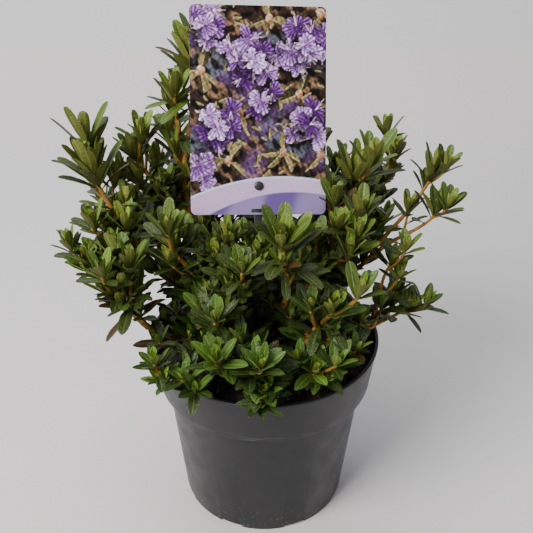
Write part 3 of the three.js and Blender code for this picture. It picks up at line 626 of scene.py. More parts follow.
def unit(vector):
    """The direction of a vector"""
    return vector / max(np.linalg.norm(vector), 1e-12)


def mix(low, high, share):
    """A number or a point part of the way from one to another"""
    return low + (high - low) * share


def polar(azimuth, reach, height):
    """A point from its azimuth in degrees, its reach from the middle and its height"""
    angle = math.radians(azimuth)
    return np.array((reach * math.cos(angle), reach * math.sin(angle), float(height)))


def cross_directions(axis):
    """Two directions square to an axis, the first of them level where it can be"""
    reference = np.array((1.0, 0.0, 0.0)) if abs(axis[2]) > NEARLY_UPRIGHT else UP
    side = unit(np.cross(axis, reference))
    return side, unit(np.cross(side, axis))


def around(axis, angle):
    """A direction square to an axis, at an angle round it"""
    side, other = cross_directions(axis)
    return side * math.cos(angle) + other * math.sin(angle)


def bezier(*controls):
    """A quadratic or cubic curve through its first and last point, as a function of its share"""
    degree = len(controls) - 1

    def at(t):
        weights = [math.comb(degree, k) * t ** k * (1 - t) ** (degree - k) for k in range(degree + 1)]
        return sum(w * c for w, c in zip(weights, controls))

    return at


def tangent(curve, t):
    """The direction of a curve at a share of it"""
    return unit(curve(min(t + 1e-4, 1.0)) - curve(max(t - 1e-4, 0.0)))


class Limb:
    """A curve with a radius at its foot and at its tip, in straight stretches for the room tests"""

    def __init__(self, name, parent, curve, foot_radius, tip_radius, steps):
        self.name = name
        self.parent = parent
        self.curve = curve
        self.steps = steps
        self.shares = np.linspace(0.0, 1.0, steps + 1)
        self.points = np.array([curve(t) for t in self.shares])
        self.radii = mix(foot_radius, tip_radius, self.shares)

    def length(self):
        """The length of the limb"""
        return np.linalg.norm(np.diff(self.points, axis=0), axis=1).sum()

    def axis_point(self, share):
        """The point part of the way up the straight stretches"""
        ring = min(int(share * self.steps), self.steps - 1)
        return mix(self.points[ring], self.points[ring + 1], share * self.steps - ring)


def room_to_limb(start, end, radius, other):
    """Room between a straight stretch and a limb"""
    foot = other.points[:-1]
    d1 = end - start
    d2 = other.points[1:] - foot
    between = start - foot
    a = d1 @ d1
    e = np.einsum("ij,ij->i", d2, d2)
    f = np.einsum("ij,ij->i", d2, between)
    b = d2 @ d1
    c = between @ d1
    bend = a * e - b * b
    s = np.where(bend > 1e-9, np.clip((b * f - c * e) / np.maximum(bend, 1e-9), 0, 1), 0.0)
    t = np.clip((b * s + f) / e, 0, 1)
    s = np.clip((b * t - c) / a, 0, 1)
    distance = np.linalg.norm(between + s[:, None] * d1 - t[:, None] * d2, axis=1)
    return (distance - radius - np.maximum(other.radii[:-1], other.radii[1:])).min()


def limb_is_clear(shape, others):
    """Whether a limb keeps its clearance from others"""
    return all(
        room_to_limb(shape.points[i], shape.points[i + 1], shape.radii[i], other) >= CLEARANCE
        for other in others
        for i in range(shape.steps)
    )


def clear_route(name, parent, start, end, radii, steps, seed, others):
    """The first seeded sway that keeps a limb clear of those before it"""
    draw = seeded(seed)
    (start_point, start_way), (end_point, end_way) = start, end
    arm = np.linalg.norm(start_point - end_point) * ROUTE_ARM
    obstacles = [other for other in others if other.name != parent]
    for k in range(ROUTE_TRIES):
        sway = np.array([draw() - 0.5, draw() - 0.5, draw() - 0.5]) * 2 * ROUTE_SWAY * k
        curve = bezier(
            start_point,
            start_point + start_way * arm + sway,
            end_point - end_way * arm - sway,
            end_point,
        )
        shape = Limb(name, parent, curve, radii[0], radii[1], steps)
        if limb_is_clear(shape, obstacles):
            return shape
    raise RuntimeError(f"no clear route for {name}")


def grow_trunk():
    """The trunk, from its flared foot to its fork"""
    foot = np.array((0.0, 0.0, TRUNK_FOOT_HEIGHT))
    tip = foot + np.array((*TRUNK_LEAN, TRUNK_HEIGHT))
    arm = UP * TRUNK_HEIGHT * ROUTE_ARM
    curve = bezier(foot, foot + arm, tip - arm, tip)
    trunk = Limb("trunk", None, curve, TRUNK_RADIUS, TRUNK_TIP_RADIUS, TRUNK_STEPS)
    trunk.radii[0] = TRUNK_FOOT_RADIUS
    trunk.radii[1] = mix(TRUNK_RADIUS, TRUNK_FOOT_RADIUS, TRUNK_FLARE)
    return trunk


def grow_bough(row, index, limbs):
    """A bough leaves its parent outwards and turns upwards towards its tip"""
    name, parent_name, leave, azimuth, reach, height = row
    parent = next(other for other in limbs if other.name == parent_name)
    middle = parent.curve(leave)
    parent_way = tangent(parent.curve, leave)
    tip = polar(azimuth, reach, height)
    ring = int(leave * parent.steps + 0.5)
    way = tip - middle
    sideways = unit(way - parent_way * (way @ parent_way))
    foot = middle + sideways * parent.radii[ring] * BOUGH_SEAT
    outward = unit(tip - foot)
    on_trunk = parent_name == "trunk"
    follow = BOUGH_FOLLOWS_TRUNK if on_trunk else BRANCH_FOLLOWS_BOUGH
    start = (foot, unit(mix(outward, parent_way, follow)))
    end = (tip, unit(mix(outward, UP, BOUGH_UPTURN)))
    radii = (BOUGH_FOOT_RADIUS if on_trunk else BRANCH_FOOT_RADIUS, BOUGH_TIP_RADIUS)
    return clear_route(name, parent_name, start, end, radii, BOUGH_STEPS, index + BOUGH_SEED, limbs)


def rotation(angle, first, second):
    """A turn by an angle from one axis towards another"""
    turn = np.eye(3)
    turn[first, first] = turn[second, second] = math.cos(angle)
    turn[first, second] = -math.sin(angle)
    turn[second, first] = math.sin(angle)
    return turn


# The card is rolled in its plane, leant back from upright, then yawed
CARD_TILT = rotation(math.pi / 2 - CARD_LEAN, 1, 2)
CARD_TURN = rotation(CARD_YAW, 0, 1) @ CARD_TILT @ rotation(CARD_ROLL, 0, 1)


def card_point(x, y, z):
    """A point from the card's own frame: across it, up it and out of its front"""
    return np.array(CARD_FOOT) + CARD_TURN @ np.array((x, y, z))


def stick_points(steps):
    """The way of the label stick, from behind the card down into the compost"""
    behind = -CARD_THICKNESS / 2 - CLEARANCE - STICK_THICKNESS / 2
    top = card_point(0.0, STICK_TOP_RISE, behind)
    bend = card_point(0.0, -STICK_BEND_DROP, behind)
    foot = np.array((CARD_FOOT[0], STICK_FOOT_Y, SOIL_TOP - STICK_DEPTH_IN_SOIL))
    slope = unit(bend - top)
    curve = bezier(bend, bend + slope * STICK_UPPER_ARM, foot + UP * STICK_LOWER_ARM, foot)
    return [top] + [curve(t) for t in np.linspace(0.0, 1.0, steps + 1)]


def stick_limb():
    """The label stick as an obstacle"""
    points = np.array(stick_points(STICK_STEPS))
    limb = Limb("label_stick", None, bezier(points[0], points[-1]), 0.0, 0.0, len(points) - 1)
    limb.points = points
    limb.radii = np.full(len(points), STICK_WIDTH / 2)
    return limb


def tube(points, radii, sides, relief=None):
    """A closed round tube along points, with its rings turned as little as can be"""
    points = np.asarray(points)
    ways = np.gradient(points, axis=0)
    ways /= np.linalg.norm(ways, axis=1, keepdims=True)
    side, _ = cross_directions(ways[0])
    made = []
    for ring, (point, way, radius) in enumerate(zip(points, ways, radii)):
        side = unit(side - way * (side @ way))
        other = np.cross(way, side)
        for k in range(sides):
            turn = 2 * math.pi * k / sides
            out = side * math.cos(turn) + other * math.sin(turn)
            size = radius * (1.0 if relief is None else relief(ring, turn))
            made.append(point + out * size)
    faces = []
    for ring in range(len(points) - 1):
        low = ring * sides
        for k in range(sides):
            after = (k + 1) % sides
            faces.append((low + k, low + after, low + sides + after, low + sides + k))
    foot = len(made)
    made.append(points[0] - ways[0] * radii[0] * TUBE_CAPS[0])
    made.append(points[-1] + ways[-1] * radii[-1] * TUBE_CAPS[1])
    last = (len(points) - 1) * sides
    for k in range(sides):
        after = (k + 1) % sides
        faces.append((foot, after, k))
        faces.append((foot + 1, last + k, last + after))
    return np.array(made), faces


def joined(parts):
    """Points, faces and material slots of several closed shapes as one mesh"""
    points = []
    faces = []
    slots = []
    count = 0
    for part_points, part_faces, part_slot in parts:
        points.append(part_points)
        faces += [tuple(count + corner for corner in face) for face in part_faces]
        slots += [part_slot] * len(part_faces)
        count += len(part_points)
    return np.concatenate(points), faces, slots


def bark_noise(turn, along, scale, pitch):
    """How far the bark stands out at a place round a limb and along it"""
    return noise.noise(Vector((math.cos(turn) * scale, math.sin(turn) * scale, along * pitch)))


def bark_tube(limb, rings, sides, depth, slim=1.0):
    """A limb with ridges and fissures that run along it, slimmer than its solid towards its tip"""
    shares = np.linspace(0.0, 1.0, rings)
    points = np.array([limb.curve(t) for t in shares])
    radii = np.interp(shares, limb.shares, limb.radii) * mix(1.0, slim, shares)
    length = np.linalg.norm(np.diff(points, axis=0), axis=1).sum()

    def relief(ring, turn):
        along = shares[ring] * length
        ridges = bark_noise(turn, along, *BARK_RIDGES)
        return 1.0 + depth * (ridges + KNOT_SHARE * bark_noise(turn, along, *BARK_KNOTS))

    return tube(points, radii, sides, relief)


def bark_finish():
    """Brown bark with dark fissures along the wood and orange-brown scurf"""
    finish = Finish("bark", roughness=0.8, specular=0.3)
    finish.paint(srgb(110, 77, 36))
    finish.paint(srgb(142, 104, 48), finish.mottle(240.0, 0.16, 4.0))
    fissures = finish.mottle(520.0, 0.2, 5.0, (1.0, 1.0, 0.3))
    finish.paint(srgb(60, 41, 24), finish.ramp(fissures, 0.68, 1.0))
    finish.gloss(finish.mottle(300.0, 0.2), 0.68, 0.92)
    finish.relief(finish.mottle(900.0, 0.25, 5.0, (1.0, 1.0, 0.35)), 0.35)
    return finish.material


trunk = grow_trunk()
limbs = [trunk, stick_limb()]
boughs = []
for index, row in enumerate(BOUGHS):
    boughs.append(grow_bough(row, index, limbs))
    limbs.append(boughs[-1])
wood_parts = [(*bark_tube(trunk, *TRUNK_MESH), 0)]
wood_parts += [(*bark_tube(bough, *BOUGH_MESH, BOUGH_SLIM), 0) for bough in boughs]
wood_points, wood_faces, wood_slots = joined(wood_parts)
wood = new_piece("trunk_and_boughs", wood_points, wood_faces, [bark_finish()], wood_slots, SOFT_CREASE)
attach(wood, "root")
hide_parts("trunk", *("bough_" + row[0] for row in BOUGHS))


# Stems and twigs: each foliage mass grows on one slender stem from the tip of its bough, and
# shoots branch from it by the golden angle and turn upwards. The same rule then goes on to finer
# twigs. The wood is orange-brown and scurfy, and a little more yellow on the finer twigs.
GOLDEN_ANGLE = math.radians(137.5)
STEM_RADIUS = 1.5
STEM_TIP_RADIUS = 0.8
STEM_PITCH = 2 * STEM_RADIUS + 0.5
JOSTLES = 200
JOSTLE_PULL = 0.95
STEM_STEPS = 5
SHOOT_RADIUS = 1.0
SHOOT_TIP_RADIUS = 0.7
SHOOT_STEPS = 2
SHOOT_LIFT = 0.25
SHOOT_UPTURN = 0.45
SHOOT_TRIES = 8
SHOOT_SHRINK = 0.06
SHOOT_PLACES = (0.88, 0.45)
SHOOT_LENGTHS = (0.7, 0.95)
SHOOT_SPREADS = (0.45, 0.65)
LOW_TILT = 55.0
HIGH_TILT = 20.0
LOW_TILT_HEIGHT = 175.0
HIGH_TILT_HEIGHT = 300.0
SPACE_MARGIN = 0.25
SPACE_SETBACK = 0.35
ROUTE_SAMPLES = 6
STEM_SEED = 101
SHOOT_SEED = 301

# Foliage masses: name, bough that carries it, then azimuth in degrees, reach and height of the
# tip of its stem, the spread of its leafy space and its number of side shoots
MASSES = [
    ("left_high", "left", 184, 131, 314, 31, 2),
    ("left_side", "left", 188, 121, 264, 36, 2),
    ("left_low", "left", 193, 138, 243, 34, 2),
    ("left_arch", "left_arch", 207, 128, 240, 42, 3),
    ("tall_top", "tall_left", 143, 73, 381, 28, 2),
    ("tall_mid", "tall_left", 150, 82, 346, 32, 2),
    ("left_back", "tall_left", 169, 102, 288, 36, 2),
    ("centre_left", "centre_left", 213, 82, 267, 36, 2),
    ("mid_left", "centre_left", 231, 57, 256, 34, 2),
    ("mid_front", "front", 258, 71, 258, 34, 2),
    ("front_inner", "front", 247, 84, 226, 34, 2),
    ("front_left", "front_low", 252, 102, 203, 32, 2),
    ("front_mid", "front_low", 266, 102, 200, 34, 2),
    ("front_low", "front_low", 270, 100, 176, 32, 2),
    ("trailing", "trailing", 228, 114, 173, 22, 2),
    ("upright", "upright", 283, 73, 284, 26, 2),
    ("centre_right", "upright", 318, 58, 248, 34, 2),
    ("right_inner", "right_inner", 302, 92, 234, 36, 2),
    ("front_right", "right_inner", 293, 96, 186, 34, 2),
    ("right_soil", "right_inner", 320, 88, 188, 32, 2),
    ("right_low", "right_low", 349, 114, 199, 24, 2),
    ("right_mid", "right_low", 344, 101, 247, 34, 2),
    ("right_front", "right_front", 325, 80, 275, 26, 2),
    ("right_tall", "right_front", 6, 69, 298, 40, 2),
    ("right_reach", "right_reach", 0, 132, 276, 26, 2),
    ("right_high", "right_reach", 6, 129, 302, 24, 2),
    ("right_top", "right_top", 23, 111, 302, 30, 2),
    ("right_rear", "right_top", 38, 113, 262, 36, 2),
    ("back_mid", "back_mid", 93, 82, 300, 44, 3),
    ("mid_centre", "front", 262, 43, 257, 22, 2),
    ("behind_card", "back_mid", 118, 40, 322, 42, 3),
    ("back_left", "back_left", 126, 112, 272, 44, 2),
    ("back_low_left", "back_left", 143, 122, 214, 42, 2),
    ("left_rear", "back_left", 161, 122, 250, 40, 2),
    ("back_right", "back_right", 58, 112, 264, 44, 2),
    ("back_low_right", "back_right", 38, 122, 212, 42, 2),
    ("back_low", "back_low", 92, 118, 208, 44, 2),
    ("left_top", "tall_left", 168, 105, 312, 24, 2),
]


def inside_pot(point, margin):
    """Whether a point is in the pot's wall or in the compost, or within a margin of them"""
    reach = math.hypot(point[0], point[1])
    if point[2] > POT_HEIGHT + margin:
        return False
    collar_slope = (RIM_RADIUS - COLLAR_FOOT_RADIUS) / COLLAR_HEIGHT
    inner_radius = RIM_RADIUS - LIP_WALL - (POT_HEIGHT - point[2]) * collar_slope
    if reach < inner_radius - margin and point[2] > SOIL_TOP + margin:
        return False
    return reach < RIM_RADIUS + margin


def near_card(point, margin):
    """Whether a point is in the label card, or within a margin of it"""
    x, y, z = CARD_TURN.T @ (point - np.array(CARD_FOOT))
    return (
        abs(x) < CARD_WIDTH / 2 + margin
        and -margin < y < CARD_HEIGHT + margin
        and abs(z) < CARD_THICKNESS + margin
    )


def stretch_is_free(start, end, margin):
    """Whether a straight stretch keeps clear of the pot, the compost and the card"""
    for share in np.linspace(0.0, 1.0, ROUTE_SAMPLES + 1):
        point = mix(start, end, share)
        if inside_pot(point, margin) or near_card(point, margin):
            return False
    return True


def share_between(low, high, value):
    """How far a value lies from low to high, from 0 to 1"""
    return min(max((value - low) / (high - low), 0.0), 1.0)


def tip_direction(tip):
    """The tip of a stem leans outwards, and the lower it is the more it leans"""
    share = share_between(LOW_TILT_HEIGHT, HIGH_TILT_HEIGHT, tip[2])
    tilt = math.radians(mix(LOW_TILT, HIGH_TILT, share))
    outward = unit(np.array((tip[0], tip[1], 0.0)))
    return outward * math.sin(tilt) + UP * math.cos(tilt)


def stem_starts(bough, tips):
    """Stems start side by side on the tip of their bough, and jostle until there is room"""
    axis = tangent(bough.curve, 1.0)
    side, other = cross_directions(axis)
    middle = bough.curve(1.0) + axis * CLEARANCE
    places = [np.array(((tip - middle) @ side, (tip - middle) @ other)) for tip in tips]
    widest = max(np.linalg.norm(place) for place in places)
    places = [place * (STEM_PITCH / widest if len(tips) > 1 else 0.0) for place in places]
    for _ in range(JOSTLES):
        places = [place * JOSTLE_PULL for place in places]
        for i in range(len(places)):
            for j in range(i + 1, len(places)):
                apart = places[j] - places[i]
                push = max(0.0, STEM_PITCH - np.linalg.norm(apart)) / 2
                places[j] = places[j] + unit(apart) * push
                places[i] = places[i] - unit(apart) * push
    return [middle + side * place[0] + other * place[1] for place in places]


def grow_stems(boughs, limbs):
    """Each mass grows on one stem, from the tip of its bough to its own tip"""
    stems = []
    for bough in boughs:
        rows = [row for row in MASSES if row[1] == bough.name]
        tips = [polar(*row[2:5]) for row in rows]
        for row, tip, foot in zip(rows, tips, stem_starts(bough, tips) if tips else []):
            start = (foot, tangent(bough.curve, 1.0))
            end = (tip, tip_direction(tip))
            radii = (STEM_RADIUS, STEM_TIP_RADIUS)
            seed = MASSES.index(row) + STEM_SEED
            stem = clear_route(row[0], bough.name, start, end, radii, STEM_STEPS, seed, limbs + stems)
            stem.spread = row[5]
            stem.shoots = row[6]
            setback = min(np.linalg.norm(foot - tip), stem.spread) * SPACE_SETBACK
            stem.middle = tip - end[1] * setback
            stems.append(stem)
    return stems


def in_own_space(point, own, stems, margin):
    """Whether a point lies nearer to its mass's middle than to any other's, by their spread"""
    for other in stems:
        if other is own:
            continue
        way = other.middle - own.middle
        distance = np.linalg.norm(way)
        edge = (distance ** 2 + own.spread ** 2 - other.spread ** 2) / (2 * distance)
        if (point - own.middle) @ way / distance > edge - margin:
            return False
    return True


def shoot_at(stem, share, turn, length, spread, radii=(SHOOT_RADIUS, SHOOT_TIP_RADIUS)):
    """A shoot leaves its stem sideways and turns upwards"""
    axis = tangent(stem.curve, share)
    start = stem.axis_point(share)
    way = unit(mix(axis, around(axis, turn), spread) + UP * SHOOT_LIFT)
    elbow = start + way * length / 2
    end = elbow + unit(mix(way, UP, SHOOT_UPTURN)) * length / 2
    return Limb("shoot", stem.name, bezier(start, elbow, end), *radii, SHOOT_STEPS)


def shoot_is_free(shoot, stem, limbs, stems):
    """A shoot keeps to its mass's space and clear of other limbs, the pot and the card"""
    others = [other for other in limbs if other is not stem]
    margin = SHOOT_RADIUS + SPACE_MARGIN
    return (
        limb_is_clear(shoot, others)
        and stretch_is_free(shoot.points[0], shoot.points[1], SHOOT_RADIUS + CLEARANCE)
        and stretch_is_free(shoot.points[1], shoot.points[2], SHOOT_RADIUS + CLEARANCE)
        and all(in_own_space(point, stem, stems, margin) for point in shoot.points[1:])
    )


def grow_shoots(stem, limbs, stems):
    """The side shoots of a mass"""
    draw = seeded(stems.index(stem) + SHOOT_SEED)
    shoots = []
    turn = draw() * 2 * math.pi
    for k in range(stem.shoots):
        share = mix(*SHOOT_PLACES, k / (stem.shoots - 1))
        for attempt in range(SHOOT_TRIES):
            length = stem.spread * mix(*SHOOT_LENGTHS, draw()) * (1 - SHOOT_SHRINK * attempt)
            spread = mix(*SHOOT_SPREADS, draw())
            side = turn + (k + attempt / 2) * GOLDEN_ANGLE
            shoot = shoot_at(stem, share, side, length, spread)
            if shoot_is_free(shoot, stem, limbs, stems):
                shoots.append(shoot)
                break
    return shoots


# Finer twigs: how far apart they stand along a limb, where they start on it, how long they are
# and how steeply they leave. They grow densest behind and low on the left. Elsewhere they thin out
# from the middle outwards, fastest at the right front, and fewer of them grow in front, low beside
# the pot and higher up on the left, and fewest of all at the top.
FINE_PITCH = 3.6
FINE_FIRST = {"bough": 0.3, "stem": 0.1}
FINE_LAST = 0.78
FINE_LENGTHS = (13.0, 27.0)
FINE_SPREADS = (0.4, 0.75)
FINE_RADII = (1.0, 0.7)
FINE_TRIES = 4
FINE_SEED = 901
FINE_THINS_FROM = 40.0
FINE_THIN = 0.008
FINE_THIN_RIGHT_FRONT = 0.023
FINE_LOW = 192.0
FINE_LOW_REACH = 72.0
FINE_LOW_SHARE = 0.4
FINE_HIGH = 268.0
FINE_HIGH_SHARE = 0.18
FINE_MOST = 0.8
FINE_FRONT = -40.0
FINE_FRONT_SHARE = 0.5
FINE_LEFT = -40.0
FINE_LEFT_HEIGHT = 238.0
FINE_LEFT_SHARE = 0.45
FINE_BEHIND = 10.0
FINE_BEHIND_HALF_WIDTH = 90.0
FINE_RIGHT_FRONT = 30.0
LEAFY_MARGIN = 5.0


def crowding(point):
    """How many of the finer twigs grow at a point, from 0 to 1"""
    reach = math.hypot(point[0], point[1])
    if point[1] > FINE_BEHIND and point[2] < FINE_HIGH and abs(point[0]) < FINE_BEHIND_HALF_WIDTH:
        return 1.0
    if point[2] < FINE_LOW and reach > FINE_LOW_REACH and point[1] < FINE_BEHIND:
        return FINE_LOW_SHARE
    if point[2] > FINE_HIGH:
        return FINE_HIGH_SHARE
    right_front = point[0] > 0.0 and point[1] < FINE_RIGHT_FRONT
    slope = FINE_THIN_RIGHT_FRONT if right_front else FINE_THIN
    share = max(0.0, 1.0 - max(0.0, reach - FINE_THINS_FROM) * slope)
    if point[0] < FINE_LEFT:
        return share * FINE_LEFT_SHARE if point[2] > FINE_LEFT_HEIGHT else 1.0
    return share * (FINE_FRONT_SHARE if point[1] < FINE_FRONT else FINE_MOST)


def twig_is_free(twig):
    """A fine twig keeps clear of the pot, the compost and the card, with room for its leaves"""
    return (
        stretch_is_free(twig.points[0], twig.points[1], FINE_RADII[0] + CLEARANCE)
        and stretch_is_free(twig.points[1], twig.points[2], LEAFY_MARGIN)
    )


def grow_fine_twigs(limb, kind, seed):
    """Finer twigs that leave a limb by the golden angle, where there is room for them"""
    draw = seeded(seed)
    first = FINE_FIRST[kind]
    count = int(limb.length() * (FINE_LAST - first) / FINE_PITCH)
    turn = draw() * 2 * math.pi
    twigs = []
    for k in range(count):
        share = mix(first, FINE_LAST, (k + draw()) / count)
        if draw() > crowding(limb.curve(share)):
            continue
        for attempt in range(FINE_TRIES):
            reach = mix(*FINE_LENGTHS, draw())
            side = turn + (k + attempt / 2) * GOLDEN_ANGLE
            twig = shoot_at(limb, share, side, reach, mix(*FINE_SPREADS, draw()), FINE_RADII)
            if twig_is_free(twig):
                twigs.append(twig)
                break
    return twigs


# Bark and leaf cushions make stems and twigs this much thicker than their solids, and less so in
# the slender masses on the right. Leaf scars swell them at even steps. The meshes have so many
# rings and sides.
STEM_SWELL = 1.75
SLENDER_SWELL = 1.3
SLENDER = ("right_reach", "right_high", "right_low", "right_mid", "right_top", "right_front")
TWIG_SWELL = 1.4
SCAR_SWELL = 0.09
SCAR_PITCH = 2.4
STEM_MESH = (26, 9)
SHOOT_MESH = (12, 7)
FINE_MESH = (8, 6)


def swell_of(mass):
    """How much thicker than their solids the stem and shoots of a mass are"""
    return SLENDER_SWELL if mass in SLENDER else STEM_SWELL


def twig_tube(limb, swell, rings, sides):
    """A stem or twig as a round tube, slightly thicker at its leaf scars"""
    shares = np.linspace(0.0, 1.0, rings)
    points = np.array([limb.curve(t) for t in shares])
    radii = np.interp(shares, limb.shares, limb.radii)
    scars = 1.0 + SCAR_SWELL * np.sin(np.arange(rings) * SCAR_PITCH)
    return tube(points, radii * swell * scars, sides)


def twig_finish(name, ground, light, dark):
    """Scurfy young wood"""
    finish = Finish(name, roughness=0.65, specular=0.35)
    finish.paint(ground)
    finish.paint(light, finish.mottle(500.0, 0.18, 3.0))
    finish.paint(dark, finish.ramp(finish.mottle(1100.0, 0.2, 3.0), 0.72, 1.0))
    finish.relief(finish.mottle(1500.0, 0.3, 3.0), 0.12)
    return finish.material


stems = grow_stems(boughs, limbs)
all_limbs = limbs + stems
shoots = [shoot for stem in stems for shoot in grow_shoots(stem, all_limbs, stems)]
fine_twigs = []
for index, limb in enumerate(boughs + stems):
    kind = "bough" if limb in boughs else "stem"
    fine_twigs += grow_fine_twigs(limb, kind, index + FINE_SEED)
twig_parts = [(*twig_tube(stem, swell_of(stem.name), *STEM_MESH), 0) for stem in stems]
twig_parts += [(*twig_tube(shoot, swell_of(shoot.parent), *SHOOT_MESH), 0) for shoot in shoots]
twig_parts += [(*twig_tube(twig, TWIG_SWELL, *FINE_MESH), 1) for twig in fine_twigs]
twig_points, twig_faces, twig_slots = joined(twig_parts)
twig_materials = [
    twig_finish("stem_bark", srgb(134, 92, 36), srgb(162, 120, 48), srgb(86, 56, 26)),
    twig_finish("twig_bark", srgb(128, 98, 40), srgb(140, 122, 52), srgb(86, 60, 28)),
]
twigs = new_piece(
    "stems_and_twigs", twig_points, twig_faces, twig_materials, twig_slots, SOFT_CREASE,
)
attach(twigs, "root")
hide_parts(*("foliage_" + row[0] for row in MASSES))


# Leaves: small, leathery and oblong on a short stalk, in whorls at the twig tips and fewer below.
# The youngest stand upright in the middle, small and yellow-green, and the older ones spread,
# dark green above and olive below, with a pale midrib in a furrow.
LEAF_ROWS = (0.0, 0.08, 0.2, 0.42, 0.7, 0.88, 0.97)
LEAF_STALK = 0.07
LEAF_STALK_WIDTH = 0.13
LEAF_COLUMNS = (-1.0, -0.6, 0.0, 0.6, 1.0)
LEAF_THICKNESS = 0.5
LEAF_RISE = 0.5
LEAF_ROLL = 0.26
# Where a leaf is tested for room: shares of its length along it and of its half width across it
LEAF_TESTS = (
    (0.2, 0.0), (0.32, 0.0), (0.44, 0.0), (0.56, 0.0), (0.6, 1.0), (0.6, -1.0), (0.68, 0.0),
    (0.8, 0.0), (0.9, 0.0), (1.0, 0.0),
)
LEAF_POT_MARGIN = 0.8
LEAF_CARD_MARGIN = 1.6
LEAF_SEED = 1307
LEAVES_IN_A_PIECE = 2300
LEAF_CREASE = 45.0
LEAF_ROUGHNESS = 0.39
UNDERSIDE_ROUGHNESS = 0.6

# High up the leaves are oblong, and low down they are broader and end in a point: where each
# sort is widest, how its end closes, its width as a share of its length, and between what heights
# one gives way to the other
OBLONG_LEAF = (0.63, 3.0, 0.5)
POINTED_LEAF = (0.54, 2.0, 0.72)
LEAF_RATIOS = (0.36, 0.28)
POINTED_BELOW = 195.0
OBLONG_ABOVE = 275.0

# How much leaves differ: in sort, in length and width as shares of the usual, and in how far they
# roll about their midrib. Their tips curl up when young and down when old, some less and some more,
# from a little above the stalk on, and the blade thins towards its tip.
LEAF_SORT_SWAY = 0.5
LEAF_LENGTH_SHARES = (0.86, 1.14)
LEAF_WIDTH_SHARES = (0.88, 1.14)
LEAF_ROLL_SWAY = 0.5
LEAF_CURLS = (-0.06, 0.16)
LEAF_CURL_SHARES = (0.4, 1.3)
LEAF_CURLS_FROM = 0.1
LEAF_THINS_BY = 0.6

# Leaves of a whorl: the angle from its axis of the innermost and of the outermost, low down and
# high up on the plant, then how deep the whorl is for each leaf, how much of the limb it takes at
# most and how many leaves chance may add. Last come a leaf's length in millimetres, the share of it
# that the youngest has, and how old it is when it is full grown.
WHORL_INNER_ANGLE = 7.0
WHORL_OUTER_ANGLES = (74.0, 43.0)
WHORL_ANGLE_SWAY = 16.0
WHORL_ANGLE_BEND = 1.25
WHORL_LOW = 185.0
WHORL_HIGH = 275.0
WHORL_UPTURN = 0.68
WHORL_PITCH = 0.65
WHORL_MOST = 0.8
WHORL_EXTRA = 3
LEAF_LENGTH = 27.5
LEAF_YOUNGEST = 0.5
LEAF_GROWN_AT = 0.45

# Older leaves stand singly below the whorl: how far apart, over what length, how many of them are
# left, their angles from the limb and how much of the limb they may take
OLD_PITCH = 3.6
OLD_REACH = 40.0
OLD_LEFT = 0.4
OLD_ANGLES = (48.0, 105.0)
OLD_MOST = 0.9

# Leaves of the masses that differ from the usual: their size against it, their tone, which is
# paler below nought and darker above it, and how many make the whorl at the tip of the stem. The
# tones also carry painted light and shade: paler on the left and low in front, toward the light,
# and darker in the middle of the crown.
USUAL_LEAVES = (1.0, 0.0, 14)
MASS_LEAVES = {
    "left_high": (1.28, -0.3, 25), "left_side": (1.0, -0.3, 14), "left_low": (0.85, -0.15, 14),
    "left_arch": (1.0, -0.15, 14), "tall_top": (1.3, -0.5, 22), "tall_mid": (1.0, -0.5, 14),
    "left_back": (0.95, -0.4, 14), "centre_left": (1.0, 0.15, 14), "mid_left": (0.9, 0.1, 14),
    "mid_front": (0.86, 0.3, 14), "front_inner": (0.85, 0.25, 14), "front_left": (1.0, -0.25, 14),
    "front_mid": (1.0, -0.25, 14), "front_low": (0.8, -0.15, 14), "trailing": (0.75, -0.15, 14),
    "upright": (1.2, 0.15, 14), "centre_right": (0.8, 0.3, 14), "front_right": (0.9, 0.0, 14),
    "right_soil": (0.72, 0.0, 14), "right_low": (0.88, 0.0, 14), "right_mid": (0.76, 0.0, 14),
    "right_tall": (1.3, 0.0, 14), "right_reach": (0.85, 0.0, 14), "right_high": (0.92, 0.1, 15),
    "right_top": (0.82, 0.1, 14), "mid_centre": (0.82, 0.4, 14), "left_top": (0.85, -0.3, 18),
}

# Leaves of the side shoots and of the finer twigs: how many to a whorl, their sizes and their tones.
# A shoot is a little darker than its mass, and a fine twig is darkest low down, as painted shade
# deep inside the crown. The last pair is how far the tones of single sprays differ.
SHOOT_LEAVES = 11
SHOOT_SIZES = (0.82, 1.0)
SHOOT_TONE = 0.15
FINE_LEAVES = 8
FINE_SIZES = (0.62, 0.92)
FINE_SHADE_TONES = (0.8, 0.1)
SPRAY_TONES = (-0.25, 0.4)


def leaf_half_width(v, widest, blunt, close):
    """Half the leaf's width along it, as a share of its widest: a narrow stalk, then the blade"""
    if v <= LEAF_STALK:
        return LEAF_STALK_WIDTH
    if v > widest:
        return (1.0 - ((v - widest) / (1.0 - widest)) ** blunt) ** close
    narrow = ((widest - v) / (widest - LEAF_STALK)) ** 2
    return mix(1.0, LEAF_STALK_WIDTH, narrow)


def leaf_rise(u):
    """How high the blade lies beside its midrib: each half rises, then rolls down at its edge"""
    return LEAF_RISE * abs(u) ** 1.1 - LEAF_ROLL * abs(u) ** 4


